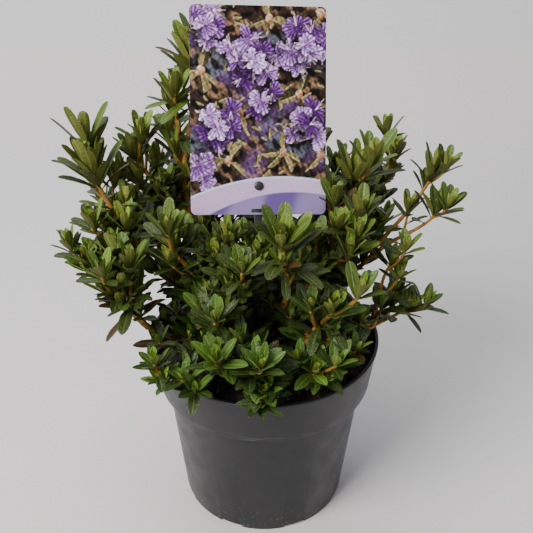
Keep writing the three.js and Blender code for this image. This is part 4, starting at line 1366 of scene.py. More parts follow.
def leaf_template():
    """One leaf's points: where each lies along and across it, the two half widths there, its rise
    and its depth. With them go the leaf's faces and their slots: 0 on the blade, 1 underneath."""
    wide = len(LEAF_COLUMNS)
    points = []
    keel_points = []
    for v in LEAF_ROWS:
        halves = (leaf_half_width(v, *OBLONG_LEAF), leaf_half_width(v, *POINTED_LEAF))
        points += [(v, u, *halves, leaf_rise(u), 0.0) for u in LEAF_COLUMNS]
        keel_points.append((v, 0.0, *halves, 0.0, -1.0))
    keel = len(points)
    points += keel_points
    tip = len(points)
    points.append((1.0, 0.0, 0.0, 0.0, 0.0, 0.0))
    faces = []
    slots = []
    for row in range(len(LEAF_ROWS) - 1):
        low = row * wide
        high = low + wide
        for k in range(wide - 1):
            faces.append((low + k, low + k + 1, high + k + 1, high + k))
            slots.append(0)
        faces.append((keel + row, low, high, keel + row + 1))
        faces.append((low + wide - 1, keel + row, keel + row + 1, high + wide - 1))
        slots += [1, 1]
    low = (len(LEAF_ROWS) - 1) * wide
    for k in range(wide - 1):
        faces.append((low + k, low + k + 1, tip))
        slots.append(0)
    faces += [(tip - 1, low, tip), (low + wide - 1, tip - 1, tip)]
    faces.append(tuple(range(wide - 1, -1, -1)) + (keel,))
    slots += [1, 1, 1]
    return np.array(points), faces, slots


def leaf_frame(axis, turn, angle, roll):
    """Directions of a leaf: along it, across it, and out of its upper side"""
    direction = axis * math.cos(angle) + around(axis, turn) * math.sin(angle)
    facing = unit(axis - direction * (axis @ direction) + UP * 1e-3)
    across = np.cross(direction, facing)
    facing = facing * math.cos(roll) + across * math.sin(roll)
    return direction, np.cross(direction, facing), facing


def leaf_is_free(root, direction, across, length, width):
    """A leaf keeps clear of the pot, the compost and the card"""
    for share, side in LEAF_TESTS:
        point = root + direction * length * share + across * side * width / 2
        if inside_pot(point, LEAF_POT_MARGIN) or near_card(point, LEAF_CARD_MARGIN):
            return False
    return True


def grow_leaf(limb, share, turn, angle, size, age, draw):
    """One leaf on a limb, or None where it has no room"""
    axis = unit(mix(tangent(limb.curve, share), UP, WHORL_UPTURN))
    grown = mix(LEAF_YOUNGEST, 1.0, min(1.0, age / LEAF_GROWN_AT))
    root = limb.curve(share)
    high = (root[2] - POINTED_BELOW) / (OBLONG_ABOVE - POINTED_BELOW)
    high = min(max(high + LEAF_SORT_SWAY * (draw() - 0.5), 0.0), 1.0)
    length = LEAF_LENGTH * size * grown * mix(*LEAF_LENGTH_SHARES, draw())
    width = length * mix(*LEAF_RATIOS, high) * mix(*LEAF_WIDTH_SHARES, draw())
    curl = mix(*LEAF_CURLS, age) * mix(*LEAF_CURL_SHARES, draw())
    direction, across, facing = leaf_frame(axis, turn, angle, LEAF_ROLL_SWAY * (draw() - 0.5))
    if not leaf_is_free(root, direction, across, length, width):
        return None
    return age, root, direction, across, facing, length, width, curl, high


def grow_leaves(limb, count, depth, size, draw):
    """The whorl at the tip of a limb, as deep as given, and the older leaves below it"""
    turn = draw() * 2 * math.pi
    length = limb.length()
    outer = mix(*WHORL_OUTER_ANGLES, share_between(WHORL_LOW, WHORL_HIGH, limb.points[-1][2]))
    grown = []
    for k in range(count):
        age = k / (count - 1)
        angle = mix(WHORL_INNER_ANGLE, outer, age ** WHORL_ANGLE_BEND)
        angle += WHORL_ANGLE_SWAY * (draw() - 0.5)
        share = 1.0 - min(WHORL_MOST, depth * size / length) * age
        side = turn + k * GOLDEN_ANGLE
        grown.append(grow_leaf(limb, share, side, math.radians(angle), size, age, draw))
    for k in range(count, count + int(OLD_REACH / OLD_PITCH)):
        down = depth * size + (k - count + draw()) * OLD_PITCH
        angle = math.radians(mix(*OLD_ANGLES, draw()))
        if down > length * OLD_MOST or draw() > OLD_LEFT:
            continue
        side = turn + k * GOLDEN_ANGLE
        grown.append(grow_leaf(limb, 1.0 - down / length, side, angle, size, 1.0, draw))
    return [leaf for leaf in grown if leaf is not None]


def leaf_points(template, leaves):
    """The points of many leaves at once"""
    roots, ways, across, facing = (np.array([leaf[i] for leaf in leaves]) for i in (1, 2, 3, 4))
    lengths, widths, curls, high = (np.array([leaf[i] for leaf in leaves]) for i in (5, 6, 7, 8))
    v, u, oblong, pointed, rise, under = template.T
    along = lengths[:, None] * v
    half = widths[:, None] / 2 * mix(pointed, oblong, high[:, None])
    sideways = half * u
    bend = -curls[:, None] * lengths[:, None] * np.maximum(v - LEAF_CURLS_FROM, 0.0) ** 2
    lift = half * rise + under * LEAF_THICKNESS * (1.0 - LEAF_THINS_BY * v) + bend
    points = roots[:, None] + along[..., None] * ways[:, None]
    points += sideways[..., None] * across[:, None] + lift[..., None] * facing[:, None]
    return points.reshape(-1, 3)


def leaf_marks(template, leaves):
    """What the leaf skin reads at each point: how far along and how far across its leaf the point
    lies, and how much painted sunlight the leaf takes, which grows with how high it stands"""
    marks = np.empty((len(leaves), len(template), 3))
    marks[..., 0] = template[:, 0]
    marks[..., 1] = np.abs(template[:, 1])
    marks[..., 2] = np.array([leaf[8] for leaf in leaves])[:, None]
    return marks


def leaf_finish(name, shaded, sunned, rib, rough):
    """Leathery leaf skin: green, painted paler and olive as sunlight higher up and in patches, with a
    soft sheen, a pale midrib and stalk and a pale thin edge that is partly a painted rim highlight"""
    finish = Finish(name, roughness=rough, specular=0.32)
    shaded, sunned, rib = srgb(*shaded), srgb(*sunned), srgb(*rib)
    marks = finish.add("ShaderNodeAttribute", attribute_name="leaf").outputs["Vector"]
    along, across, painted_sun = finish.add("ShaderNodeSeparateXYZ", {0: marks}).outputs
    finish.paint(shaded)
    # Painted sunlight: the higher the leaf stands, the more of its paler lit colour it takes
    finish.paint(sunned, finish.ramp(painted_sun, 0.0, 1.0, 0.0, 0.75))
    # Mottled patches of the same lit colour: painted dappled light on the skin
    finish.paint(sunned, finish.ramp(finish.mottle(420.0, 0.25, 3.0), 0.2, 1.0, 0.0, 0.6))
    finish.paint(rib, finish.ramp(across, 0.2, 0.05, 0.0, 0.85))
    # A pale thin edge: partly the leaf's own margin, partly a painted rim highlight
    finish.paint(rib, finish.ramp(across, 0.78, 1.0, 0.0, 0.55))
    finish.paint(rib, finish.ramp(along, 0.2, 0.05))
    finish.gloss(finish.mottle(260.0, 0.25), rough - 0.07, rough + 0.1)
    finish.relief(finish.mottle(650.0, 0.3, 2.0), 0.46)
    return finish.material


# Kinds of leaf: name, then the colours of its blade in shade and in sun, of its midrib and of its
# underside in shade and in sun
LEAF_KINDS = [
    ("young", (116, 142, 42), (140, 150, 54), (160, 172, 94), (126, 136, 54), (140, 138, 60)),
    ("fresh", (74, 116, 32), (104, 120, 38), (126, 150, 74), (96, 116, 42), (116, 114, 48)),
    ("mature", (54, 88, 26), (78, 92, 28), (98, 122, 58), (78, 94, 34), (100, 98, 38)),
    ("dark", (36, 56, 17), (53, 61, 20), (68, 88, 40), (56, 66, 24), (74, 70, 28)),
    ("bronze", (56, 44, 18), (72, 54, 22), (84, 70, 34), (68, 52, 22), (78, 58, 26)),
]
DARK_KIND = 3
BRONZE_KIND = 4
BRONZE_SHARE = 0.06

# How much a leaf darkens with age, how much that differs, and up to what tone it is of each kind
# but the last two
AGE_TONE = 2.5
AGE_TONE_SWAY = 0.5
KIND_TONES = (0.6, 1.4, 2.3)


def kind_of_leaf(age, tone, draw):
    """A leaf's kind from its age in its whorl and from the tone of its spray"""
    tone = age * AGE_TONE + tone + AGE_TONE_SWAY * (draw() - 0.5)
    for kind, darkest in enumerate(KIND_TONES):
        if tone < darkest:
            return kind
    return BRONZE_KIND if draw() < BRONZE_SHARE else DARK_KIND


# Each limb that ends in a whorl, with the number of its leaves, their size and their tone
leafy_limbs = []
for stem in stems:
    size, tone, count = MASS_LEAVES.get(stem.name, USUAL_LEAVES)
    leafy_limbs.append((stem, count, size, tone))
size_draw = seeded(LEAF_SEED)
for shoot in shoots:
    size, tone, _ = MASS_LEAVES.get(shoot.parent, USUAL_LEAVES)
    size *= mix(*SHOOT_SIZES, size_draw())
    leafy_limbs.append((shoot, SHOOT_LEAVES, size, SHOOT_TONE + tone))
for twig in fine_twigs:
    # Fine twigs low down take darker leaves: painted shade inside the crown
    tone = mix(*FINE_SHADE_TONES, share_between(WHORL_LOW, WHORL_HIGH, twig.points[-1][2]))
    leafy_limbs.append((twig, FINE_LEAVES, mix(*FINE_SIZES, size_draw()), tone))
leaf_shape, leaf_faces, leaf_slots = leaf_template()
leaves_by_kind = [[] for _ in LEAF_KINDS]
for index, (limb, count, size, inner) in enumerate(leafy_limbs):
    draw = seeded(index + LEAF_SEED)
    tone = inner + mix(*SPRAY_TONES, draw())
    full = count + int(WHORL_EXTRA * draw())
    for leaf in grow_leaves(limb, full, count * WHORL_PITCH, size, draw):
        leaves_by_kind[kind_of_leaf(leaf[0], tone, draw)].append(leaf)
for (kind, shaded, sunned, rib, under, under_sunned), leaves in zip(LEAF_KINDS, leaves_by_kind):
    materials = [
        leaf_finish("leaf_" + kind, shaded, sunned, rib, LEAF_ROUGHNESS),
        leaf_finish("underside_" + kind, under, under_sunned, rib, UNDERSIDE_ROUGHNESS),
    ]
    for part in range(0, len(leaves), LEAVES_IN_A_PIECE):
        some = leaves[part:part + LEAVES_IN_A_PIECE]
        points = leaf_points(leaf_shape, some)
        faces = [
            tuple(leaf * len(leaf_shape) + corner for corner in face)
            for leaf in range(len(some)) for face in leaf_faces
        ]
        name = f"leaves_{kind}_{part // LEAVES_IN_A_PIECE + 1}"
        piece = new_piece(name, points, faces, materials, leaf_slots * len(some), LEAF_CREASE)
        marks = piece.data.attributes.new("leaf", "FLOAT_VECTOR", "POINT")
        marks.data.foreach_set("vector", leaf_marks(leaf_shape, some).ravel())
        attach(piece, "root")


# Label stick and stud: a flat strip of black plastic, pushed into the compost behind the card and
# bent upright. A domed stud moulded on it goes through the card's hole and holds it.
STICK_ROUNDING = 0.7
STICK_CORNER_STEPS = 3
STICK_RINGS = 30
STUD_RISE = 21.2
STUD_HEAD_RADIUS = 3.4
STUD_HEAD_DEPTH = 1.6
STUD_SHANK_RADIUS = 1.8
STUD_SIDES = 32


def strip_section():
    """The strip's section: a flat bar with rounded edges, across and through it"""
    half_width = STICK_WIDTH / 2 - STICK_ROUNDING
    half_depth = STICK_THICKNESS / 2 - STICK_ROUNDING
    section = []
    for corner_x, corner_y, first in ((1, 1, 0.0), (-1, 1, 0.5), (-1, -1, 1.0), (1, -1, 1.5)):
        for k in range(STICK_CORNER_STEPS + 1):
            turn = math.pi * (first + 0.5 * k / STICK_CORNER_STEPS)
            section.append((
                corner_x * half_width + STICK_ROUNDING * math.cos(turn),
                corner_y * half_depth + STICK_ROUNDING * math.sin(turn),
            ))
    return section


def stick_strip():
    """The strip swept along the stick's way"""
    way = np.array(stick_points(STICK_RINGS))
    section = strip_section()
    points = []
    for point, along in zip(way, np.gradient(way, axis=0)):
        along = unit(along)
        across = CARD_TURN[:, 0]
        through = unit(np.cross(across, along))
        points += [point + across * x - through * y for x, y in section]
    count = len(section)
    faces = []
    for ring in range(len(way) - 1):
        low = ring * count
        for k in range(count):
            after = (k + 1) % count
            faces.append((low + k, low + count + k, low + count + after, low + after))
    faces.append(tuple(range(count)))
    faces.append(tuple(range(len(points) - 1, len(points) - 1 - count, -1)))
    return np.array(points), faces


def stud():
    """The domed stud and its shank, turned about the hole in the card"""
    back = -CARD_THICKNESS / 2 - CLEARANCE - STICK_THICKNESS / 2
    front = CARD_THICKNESS / 2 + CLEARANCE
    top = front + STUD_HEAD_DEPTH
    section = [
        (0.0, back, 0.0),
        (STUD_SHANK_RADIUS, back, 0.2),
        (STUD_SHANK_RADIUS, front, 0.2),
        (STUD_HEAD_RADIUS, front, 0.25),
        (STUD_HEAD_RADIUS, front + STUD_HEAD_DEPTH * 0.55, 0.5),
        (STUD_HEAD_RADIUS * 0.7, top, 0.9),
        (0.0, top, 0.0),
    ]
    points, faces = revolved(rounded(section), STUD_SIDES)
    return np.array([card_point(x, STUD_RISE + y, z) for x, y, z in points]), faces


def black_plastic():
    """Black moulded plastic with a low sheen"""
    finish = Finish("black_plastic", roughness=0.45, specular=0.5)
    finish.paint(srgb(26, 26, 28))
    finish.paint(srgb(40, 40, 42), finish.mottle(120.0, 0.2))
    finish.gloss(finish.mottle(300.0, 0.2), 0.36, 0.52)
    finish.relief(finish.mottle(1600.0, 0.3), 0.02)
    return finish.material


stick_parts, stick_faces, stick_slots = joined([(*stick_strip(), 0), (*stud(), 0)])
stick = new_piece("stick_and_stud", stick_parts, stick_faces, [black_plastic()], stick_slots)
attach(stick, "root")
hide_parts("label_stick")


# Label card: a thin glossy plastic card with rounded corners, held by the stud, with a slot at its
# foot for the stick. Its printed front has a plain garden picture of violet blossoms over olive
# leaves, above a pale lilac band and a violet foot.
CARD_CORNER = 4.0
CARD_COLUMNS = 170
CARD_CORNER_ROWS = 8
CARD_ROWS = 240
SLOT_WIDTH = 11.0
SLOT_HEIGHT = 2.8
SLOT_RISE = 1.4
HOLE_SIDES = 24


def card_rows():
    """Height and half width of each row of the card's grid"""
    rows = []
    for t in np.linspace(0.0, math.pi / 2, CARD_CORNER_ROWS):
        rows.append((CARD_CORNER * (1 - math.cos(t)), CARD_WIDTH / 2 - CARD_CORNER * (1 - math.sin(t))))
    for y in np.linspace(CARD_CORNER, CARD_HEIGHT - CARD_CORNER, CARD_ROWS)[1:-1]:
        rows.append((y, CARD_WIDTH / 2))
    rows += [(CARD_HEIGHT - y, half) for y, half in rows[CARD_CORNER_ROWS - 1::-1]]
    return rows


def card_sheet():
    """The card in its own frame: a fine grid in front, to carry the print, and plain strips behind"""
    rows = card_rows()
    front = CARD_THICKNESS / 2
    shares = np.linspace(-1.0, 1.0, CARD_COLUMNS + 1)
    wide = len(shares)
    points = [(u * half, y, front) for y, half in rows for u in shares]
    back = len(points)
    for y, half in rows:
        points += [(-half, y, -front), (half, y, -front)]
    faces = []
    for row in range(len(rows) - 1):
        low = row * wide
        for k in range(wide - 1):
            faces.append((low + k, low + k + 1, low + wide + k + 1, low + wide + k))
        left = back + 2 * row
        faces.append((left + 1, left, left + 2, left + 3))
        faces.append((low, low + wide, left + 2, left))
        faces.append((low + wide - 1, left + 1, left + 3, low + 2 * wide - 1))
    top = (len(rows) - 1) * wide
    faces.append((back, back + 1) + tuple(range(wide - 1, -1, -1)))
    faces.append(tuple(range(top, top + wide)) + (len(points) - 1, len(points) - 2))
    return points, faces


def card_cutter():
    """The slot and the stud's hole, in the card's own frame"""
    shape = bmesh.new()
    through = 4 * CARD_THICKNESS
    slot_place = Matrix.Translation((0, SLOT_RISE + SLOT_HEIGHT / 2, 0))
    add_block(shape, (SLOT_WIDTH, SLOT_HEIGHT, through), slot_place)
    hole_place = Matrix.Translation((0, STUD_RISE, 0))
    add_rod(shape, STUD_SHANK_RADIUS + CLEARANCE, through, HOLE_SIDES, hole_place)
    return cutter_piece("card_cutter", shape)


# The print. Colours are worked out from a seeded drawing rule at the points of the front. Those of
# a leaf are for its lit half, its shaded half and its midrib, those of a petal go from its foot to
# its end, and those of a bud from its shaded side to its lit one.
PRINT_SEED = 77
PRINT_GROUND = srgb(42, 28, 22)
PRINT_SHADE = srgb(6, 4, 4)
PRINT_LEAF = (srgb(152, 136, 88), srgb(48, 40, 20), srgb(204, 192, 152))
PRINT_PETAL = (srgb(66, 24, 88), srgb(152, 106, 174), srgb(234, 208, 250))
PRINT_FAR_PETAL = srgb(104, 70, 122)
PRINT_STAMEN = srgb(240, 206, 222)
PRINT_BUD = (srgb(150, 96, 62), srgb(226, 190, 160))
PRINT_BAND = (srgb(188, 160, 194), srgb(198, 176, 206))
PRINT_BAND_EDGE = srgb(196, 214, 232)
PRINT_FOOT = (srgb(98, 78, 136), srgb(138, 120, 166))

# Soft patches over the ground: colour, strength, where in the field they start and are full, the
# size of the field's waves and its seed
PRINT_PATCHES = [
    (srgb(126, 96, 70), 0.9, 0.42, 0.78, 15.0, 5),
    (srgb(88, 94, 106), 0.7, 0.5, 0.85, 30.0, 9),
    (PRINT_SHADE, 0.95, 0.4, 0.7, 8.0, 13),
]

# Where the print has its sprays of leaves and its clusters of blossoms, in millimetres across and
# up the card, with the number of leaves or blossoms
PRINT_SPRAYS = [
    (30, 88, 6), (-14, 74, 5), (18, 46, 6), (-42, 104, 5), (8, 142, 5), (-22, 40, 5), (46, 44, 5),
    (-30, 148, 4), (46, 146, 4),
]
PRINT_CLUSTERS = [
    (-30, 64, 6), (-4, 112, 9), (-40, 136, 5), (34, 124, 8), (38, 66, 6), (2, 84, 3), (-46, 36, 4),
]
PRINT_SPACING = 6.6

# How many small leaves and far blossoms lie behind them and in what part of the card, then in
# millimetres the sizes of all that is drawn, how soft its edges are and how wide a midrib is
PRINT_SMALL_LEAVES = 110
PRINT_FAR_BLOSSOMS = 20
PRINT_ACROSS = (-50.0, 50.0)
PRINT_UP = (26.0, 150.0)
SMALL_LEAF_LENGTHS = (5.0, 10.0)
FAR_BLOSSOM_SIZES = (5.0, 11.0)
SPRAY_LEAF_LENGTHS = (12.0, 17.0)
BUD_SIZES = (2.2, 3.2)
BLOSSOM_SIZES = (8.5, 12.0)
PRINT_EDGE = 0.7
PRINT_RIB = 0.55

# Proportions: a leaf's bare stalk and the width of its halves as shares of its length, how far the
# leaves of a spray stand apart, a blossom's petals, how far they stand apart and how wide they are,
# and its stamens. A phase is drawn from about a full turn.
PRINT_LEAF_STALK = 0.18
PRINT_LEAF_HALVES = (0.2, 0.3)
SPRAY_TURN = 2.0
PETALS = 6
PETAL_TURN = 2.4
PETAL_HALVES = (0.26, 0.4)
PETAL_SHARES = (0.85, 1.1)
STAMENS = 4
STAMEN_SHARES = (0.5, 1.0)
PHASES = 6.3

# The fine crinkle of light and dark over the whole picture: its size, mean, depth and seed
PRINT_CRINKLE = 2.5
CRINKLE_MEAN = 1.07
CRINKLE_DEPTH = 1.3
CRINKLE_SEED = 31

# Upper edges of the band and of the foot: the height of their crest, how fast they fall away from it
# and where it is across the card. The foot has flat streaks, from a soft field like those of the
# ground, and each such field is a sum of a few waves.
BAND_SWEEP = (27.5, 0.0032, 18.0)
FOOT_SWEEP = (16.5, 0.0042, 26.0)
STREAK_SIZE = 34.0
STREAK_FLATTEN = 0.4
STREAK_SEED = 21
FIELD_WAVES = 9


def smooth_step(low, high, value):
    """0 below low, 1 above high and a soft step between"""
    t = np.clip((value - low) / (high - low), 0.0, 1.0)
    return t * t * (3 - 2 * t)


def lay(colours, colour, mask):
    """Lays a colour, or a colour for each point, over the print by a mask"""
    colours += (np.asarray(colour) - colours) * mask[:, None]


def blend(first, second, share):
    """The colours between two, for each point"""
    return np.array(first) + (np.array(second) - np.array(first)) * share[:, None]


def soft_field(x, y, size, seed):
    """A smooth field of waves from 0 to 1, with features of about a size in millimetres"""
    draw = seeded(seed)
    total = np.zeros_like(x)
    for _ in range(FIELD_WAVES):
        turn = draw() * 2 * math.pi
        pitch = 2 * math.pi / (size * mix(0.6, 1.9, draw()))
        total += np.sin((x * math.cos(turn) + y * math.sin(turn)) * pitch + draw() * PHASES)
    return np.clip(0.5 + total / 8, 0.0, 1.0)


def along_and_across(x, y, centre, turn):
    """Places along and across a line that leaves a point of the print"""
    dx, dy = x - centre[0], y - centre[1]
    return dx * math.cos(turn) + dy * math.sin(turn), dy * math.cos(turn) - dx * math.sin(turn)


def draw_leaf(colours, x, y, centre, turn, length, draw):
    """A folded olive leaf with a pale midrib: one half in the light, the other in shade"""
    along, across = along_and_across(x, y, centre, turn)
    across = across + 0.1 * along * (along / length) * (draw() - 0.5)
    stalk = length * PRINT_LEAF_STALK
    share = np.clip((along - stalk) / (length * (1.0 - PRINT_LEAF_STALK)), 0.0, 1.0)
    roundness = 2 * np.sqrt(np.clip(share * (1 - share), 0.0, 0.25))
    half = length * mix(*PRINT_LEAF_HALVES, draw()) * roundness
    inside = smooth_step(0.0, PRINT_EDGE, half - np.abs(across))
    light = np.clip(0.45 + 0.4 * np.sign(across) * smooth_step(0.0, 0.5, np.abs(across)), 0.0, 1.0)
    light = light * mix(0.45, 1.0, draw())
    lay(colours, blend(PRINT_LEAF[1], PRINT_LEAF[0], light), inside)
    lay(colours, PRINT_LEAF[2], 0.55 * inside * smooth_step(PRINT_RIB, 0.1, np.abs(across)))


def draw_bud(colours, x, y, centre, size, draw):
    """A round bud, lit from above"""
    dx, dy = (x - centre[0]) / size, (y - centre[1]) / (size * 1.25)
    light = smooth_step(-0.8, 0.9, dy - 0.5 * dx) * mix(0.6, 1.0, draw())
    lay(colours, blend(PRINT_BUD[0], PRINT_BUD[1], light), smooth_step(1.1, 0.85, np.hypot(dx, dy)))


def draw_spray(colours, x, y, centre, count, draw):
    """Leaves that fan out from below a bud"""
    first = draw() * 2 * math.pi
    for k in range(count):
        turn = first + k * SPRAY_TURN + 0.7 * draw()
        draw_leaf(colours, x, y, centre, turn, mix(*SPRAY_LEAF_LENGTHS, draw()), draw)
    draw_bud(colours, x, y, centre, mix(*BUD_SIZES, draw()), draw)


def draw_petal(colours, x, y, centre, turn, length, tone, draw):
    """A petal with a frilled edge, deep at its foot and pale towards its end"""
    along, across = along_and_across(x, y, centre, turn)
    share = np.clip(along / length, 0.0, 1.0)
    frill = 1.0 + 0.14 * np.sin(along * mix(2.4, 3.6, draw()) + draw() * PHASES)
    half = length * mix(*PETAL_HALVES, draw()) * np.sqrt(1.0 - (2.0 * share ** 1.5 - 1.0) ** 2)
    inside = smooth_step(0.0, PRINT_EDGE, half * frill - np.abs(across)) * (along > 0.0)
    folds = 0.5 + 0.5 * np.sin(across * 2.6 / (0.3 + share) + draw() * PHASES)
    edge = smooth_step(1.2, 0.2, half - np.abs(across))
    light = np.clip(tone + 0.55 * share + 0.5 * folds - 0.42 + 0.2 * edge, 0.0, 1.0)
    low = blend(PRINT_PETAL[0], PRINT_PETAL[1], np.clip(light * 2, 0.0, 1.0))
    colour = low + (np.array(PRINT_PETAL[2]) - low) * np.clip(light * 2 - 1, 0.0, 1.0)[:, None]
    lay(colours, colour, 0.94 * inside)


def draw_blossom(colours, x, y, centre, size, draw):
    """A blossom seen a little from one side, with thin stamens and a shadow below it"""
    shade = smooth_step(1.3, 0.5, np.hypot(x - centre[0], y - centre[1] + 0.2 * size) / size)
    lay(colours, PRINT_SHADE, 0.75 * shade)
    first = draw() * 2 * math.pi
    lean = draw() * 2 * math.pi
    tone = mix(-0.35, 0.5, draw())
    for k in range(PETALS):
        turn = first + k * PETAL_TURN + 0.5 * (draw() - 0.5)
        length = size * (1.0 - 0.4 * max(0.0, math.cos(turn - lean))) * mix(*PETAL_SHARES, draw())
        draw_petal(colours, x, y, centre, turn, length, tone + 0.25 * (draw() - 0.5), draw)
    for _ in range(STAMENS):
        length = size * mix(*STAMEN_SHARES, draw())
        along, across = along_and_across(x, y, centre, lean + 1.6 * (draw() - 0.5))
        bent = across - mix(-0.12, 0.12, draw()) * along ** 2 / size
        line = smooth_step(0.42, 0.1, np.abs(bent)) * (along > 0) * (along < length)
        lay(colours, PRINT_STAMEN, 0.6 * line)


def print_colours(x, y):
    """The colours of the print at points of the card's front"""
    draw = seeded(PRINT_SEED)
    colours = np.tile(np.array(PRINT_GROUND), (len(x), 1))
    for colour, strength, start, full, size, seed in PRINT_PATCHES:
        lay(colours, colour, strength * smooth_step(start, full, soft_field(x, y, size, seed)))
    for _ in range(PRINT_FAR_BLOSSOMS):
        centre = (mix(*PRINT_ACROSS, draw()), mix(*PRINT_UP, draw()))
        away = np.hypot(x - centre[0], y - centre[1]) / mix(*FAR_BLOSSOM_SIZES, draw())
        lay(colours, PRINT_FAR_PETAL, 0.5 * smooth_step(1.3, 0.2, away))
    for _ in range(PRINT_SMALL_LEAVES):
        centre = (mix(*PRINT_ACROSS, draw()), mix(*PRINT_UP, draw()))
        draw_leaf(colours, x, y, centre, draw() * PHASES, mix(*SMALL_LEAF_LENGTHS, draw()), draw)
    for spray_x, spray_y, count in PRINT_SPRAYS:
        draw_spray(colours, x, y, (spray_x, spray_y), count, draw)
    for cluster_x, cluster_y, count in PRINT_CLUSTERS:
        for k in range(count - 1, -1, -1):
            away = PRINT_SPACING * math.sqrt(k)
            turn = k * GOLDEN_ANGLE + cluster_x
            centre = (cluster_x + away * math.cos(turn), cluster_y + away * math.sin(turn))
            draw_blossom(colours, x, y, centre, mix(*BLOSSOM_SIZES, draw()), draw)
    crinkle = soft_field(x, y, PRINT_CRINKLE, CRINKLE_SEED) - 0.5
    colours *= CRINKLE_MEAN + CRINKLE_DEPTH * crinkle[:, None]
    return lay_band(colours, x, y)


def above_sweep(x, y, crest, fall, middle):
    """How far points of the print lie above a curved edge"""
    return y - (crest - fall * (x - middle) ** 2)


def lay_band(colours, x, y):
    """The pale band and the violet foot below it, parted by two sweeps"""
    above_band = above_sweep(x, y, *BAND_SWEEP)
    above_foot = above_sweep(x, y, *FOOT_SWEEP)
    share = np.clip((x + CARD_WIDTH / 2) / CARD_WIDTH, 0.0, 1.0)
    band = blend(PRINT_BAND[0], PRINT_BAND[1], share)
    lay(colours, PRINT_BAND_EDGE, smooth_step(0.9, 0.3, above_band))
    lay(colours, band, smooth_step(-0.4, -0.9, above_band))
    streaks = soft_field(x, y * STREAK_FLATTEN, STREAK_SIZE, STREAK_SEED)
    foot = blend(PRINT_FOOT[0], PRINT_FOOT[1], smooth_step(0.35, 0.75, streaks))
    lay(colours, foot, smooth_step(0.3, -0.3, above_foot))
    return colours


def print_finish():
    """The glossy printed front: its colours are an attribute of the mesh"""
    finish = Finish("card_print", roughness=0.36, specular=0.18)
    painted = finish.add("ShaderNodeAttribute", attribute_name="print").outputs["Color"]
    grain = {0: finish.mottle(700.0, 0.3), 6: painted, 7: srgb(238, 236, 240)}
    grained = finish.add("ShaderNodeMix", grain, data_type="RGBA", blend_type="MULTIPLY")
    finish.show(grained.outputs[2], "Base Color")
    finish.gloss(finish.mottle(90.0, 0.3), 0.3, 0.42)
    finish.shader.inputs["Coat Weight"].default_value = 0.05
    finish.shader.inputs["Coat Roughness"].default_value = 0.12
    return finish.material


def card_back_finish():
    """The plain white back and edges"""
    finish = Finish("card_back", roughness=0.45, specular=0.5)
    finish.paint(srgb(226, 224, 226))
    finish.paint(srgb(214, 212, 216), finish.mottle(60.0, 0.3))
    return finish.material


sheet_points, sheet_faces = card_sheet()
card = new_piece("label_card_sheet", sheet_points, sheet_faces, [print_finish(), card_back_finish()])
cut_away(card, card_cutter())
card_mesh = card.data
flat = np.zeros(len(card_mesh.vertices) * 3)
card_mesh.vertices.foreach_get("co", flat)
flat = flat.reshape(-1, 3) / MM
painted = card_mesh.attributes.new("print", "FLOAT_COLOR", "POINT")
painted.data.foreach_set("color", print_colours(flat[:, 0], flat[:, 1]).ravel())
forward = np.array([face.normal.z > 0.5 for face in card_mesh.polygons])
card_mesh.polygons.foreach_set("material_index", np.where(forward, 0, 1))
placed = np.array([card_point(*point) for point in flat]) * MM
card_mesh.vertices.foreach_set("co", placed.ravel())
card_mesh.update()
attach(card, "root")
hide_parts("label_card")


# Studio: a pale floor that sweeps up into a backdrop, soft light from above and the left, and a
# camera at the photograph's place. Its sizes are in metres.
FLOOR_FRONT = -1.4
FLOOR_BACK = 0.62
SWEEP_RADIUS = 0.45
SWEEP_STEPS = 12
SWEEP_TOP = 1.9
SWEEP_HALF_WIDTH = 3.4


def sweep():
    """The floor and the backdrop as one curved sheet"""
    outline = [(FLOOR_FRONT, 0.0), (FLOOR_BACK, 0.0)]
    for t in np.linspace(0.0, math.pi / 2, SWEEP_STEPS + 1)[1:]:
        outline.append((FLOOR_BACK + SWEEP_RADIUS * math.sin(t), SWEEP_RADIUS * (1 - math.cos(t))))
    outline.append((FLOOR_BACK + SWEEP_RADIUS, SWEEP_TOP))
    points = []
    for y, z in outline:
        points += [(-SWEEP_HALF_WIDTH / MM, y / MM, z / MM), (SWEEP_HALF_WIDTH / MM, y / MM, z / MM)]
    faces = [(2 * i, 2 * i + 1, 2 * i + 3, 2 * i + 2) for i in range(len(outline) - 1)]
    finish = Finish("studio_paper", roughness=0.9, specular=0.2)
    finish.paint(srgb(207, 203, 200))
    finish.paint(srgb(203, 208, 228), finish.ramp(finish.coordinate(2), 0.1, 0.5))
    return new_piece("studio_sweep", points, faces, [finish.material], None, SOFT_CREASE)


sweep()


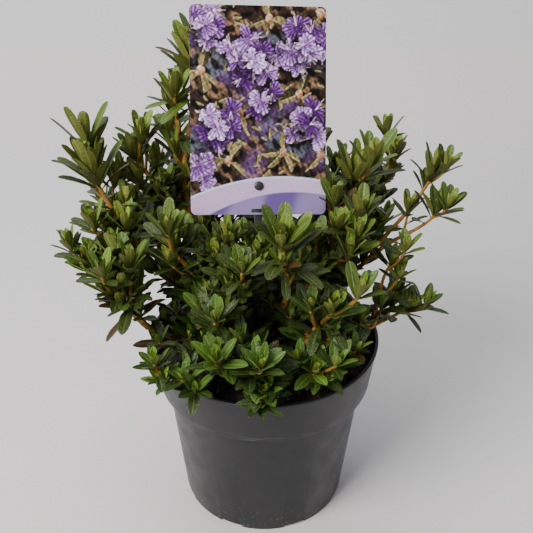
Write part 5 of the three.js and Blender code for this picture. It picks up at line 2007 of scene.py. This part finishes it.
def soft_light(name, place, target, size, power, colour):
    """A square soft light that faces a point"""
    lamp = bpy.data.lights.new(name, "AREA")
    lamp.shape = "RECTANGLE"
    lamp.size, lamp.size_y = size
    lamp.energy = power
    lamp.color = colour
    light = bpy.data.objects.new(name, lamp)
    light.location = place
    light.rotation_euler = (Vector(target) - Vector(place)).to_track_quat("-Z", "Y").to_euler()
    bpy.context.scene.collection.objects.link(light)


# Each light's name, its place, the point it faces, its size, its power in watts and its colour
LIGHTS = [
    ("key_light", (-1.05, -1.05, 1.5), (0.0, 0.0, 0.2), (1.0, 1.0), 68.0, (1.0, 0.99, 0.985)),
    ("fill_light", (1.5, -0.7, 1.2), (0.0, 0.0, 0.2), (1.4, 1.4), 7.0, (0.96, 0.98, 1.0)),
    ("top_light", (-0.3, 0.45, 2.1), (0.0, 0.2, 0.2), (1.6, 1.6), 27.0, (1.0, 1.0, 1.0)),
]
for light_row in LIGHTS:
    soft_light(*light_row)

# The light of the room all round is faint and a little blue
ROOM_COLOUR = (0.94, 0.95, 1.0, 1.0)
ROOM_STRENGTH = 0.2
world = bpy.data.worlds.new("studio")
world.use_nodes = True
background = world.node_tree.nodes["Background"]
background.inputs["Color"].default_value = ROOM_COLOUR
background.inputs["Strength"].default_value = ROOM_STRENGTH
bpy.context.scene.world = world

# The camera stands 0.57 m in front of the pot's middle and as high, and looks down at 31.6 degrees
CAMERA_PLACE = (0.00349, -0.5689, 0.5741)
CAMERA_PITCH = 0.5514
CAMERA_YAW = -0.0045
CAMERA_ROLL = 0.0088
FOCAL_PIXELS = 835.8
PHOTO_PIXELS = 533
SENSOR_WIDTH = 36.0
lens = bpy.data.cameras.new("camera")
lens.sensor_width = SENSOR_WIDTH
lens.lens = FOCAL_PIXELS / PHOTO_PIXELS * SENSOR_WIDTH
camera = bpy.data.objects.new("camera", lens)
turn = Matrix.Rotation(-CAMERA_YAW, 4, "Z") @ Matrix.Rotation(math.pi / 2 - CAMERA_PITCH, 4, "X")
camera.matrix_world = Matrix.Translation(CAMERA_PLACE) @ turn @ Matrix.Rotation(CAMERA_ROLL, 4, "Z")
bpy.context.scene.collection.objects.link(camera)
bpy.context.scene.camera = camera
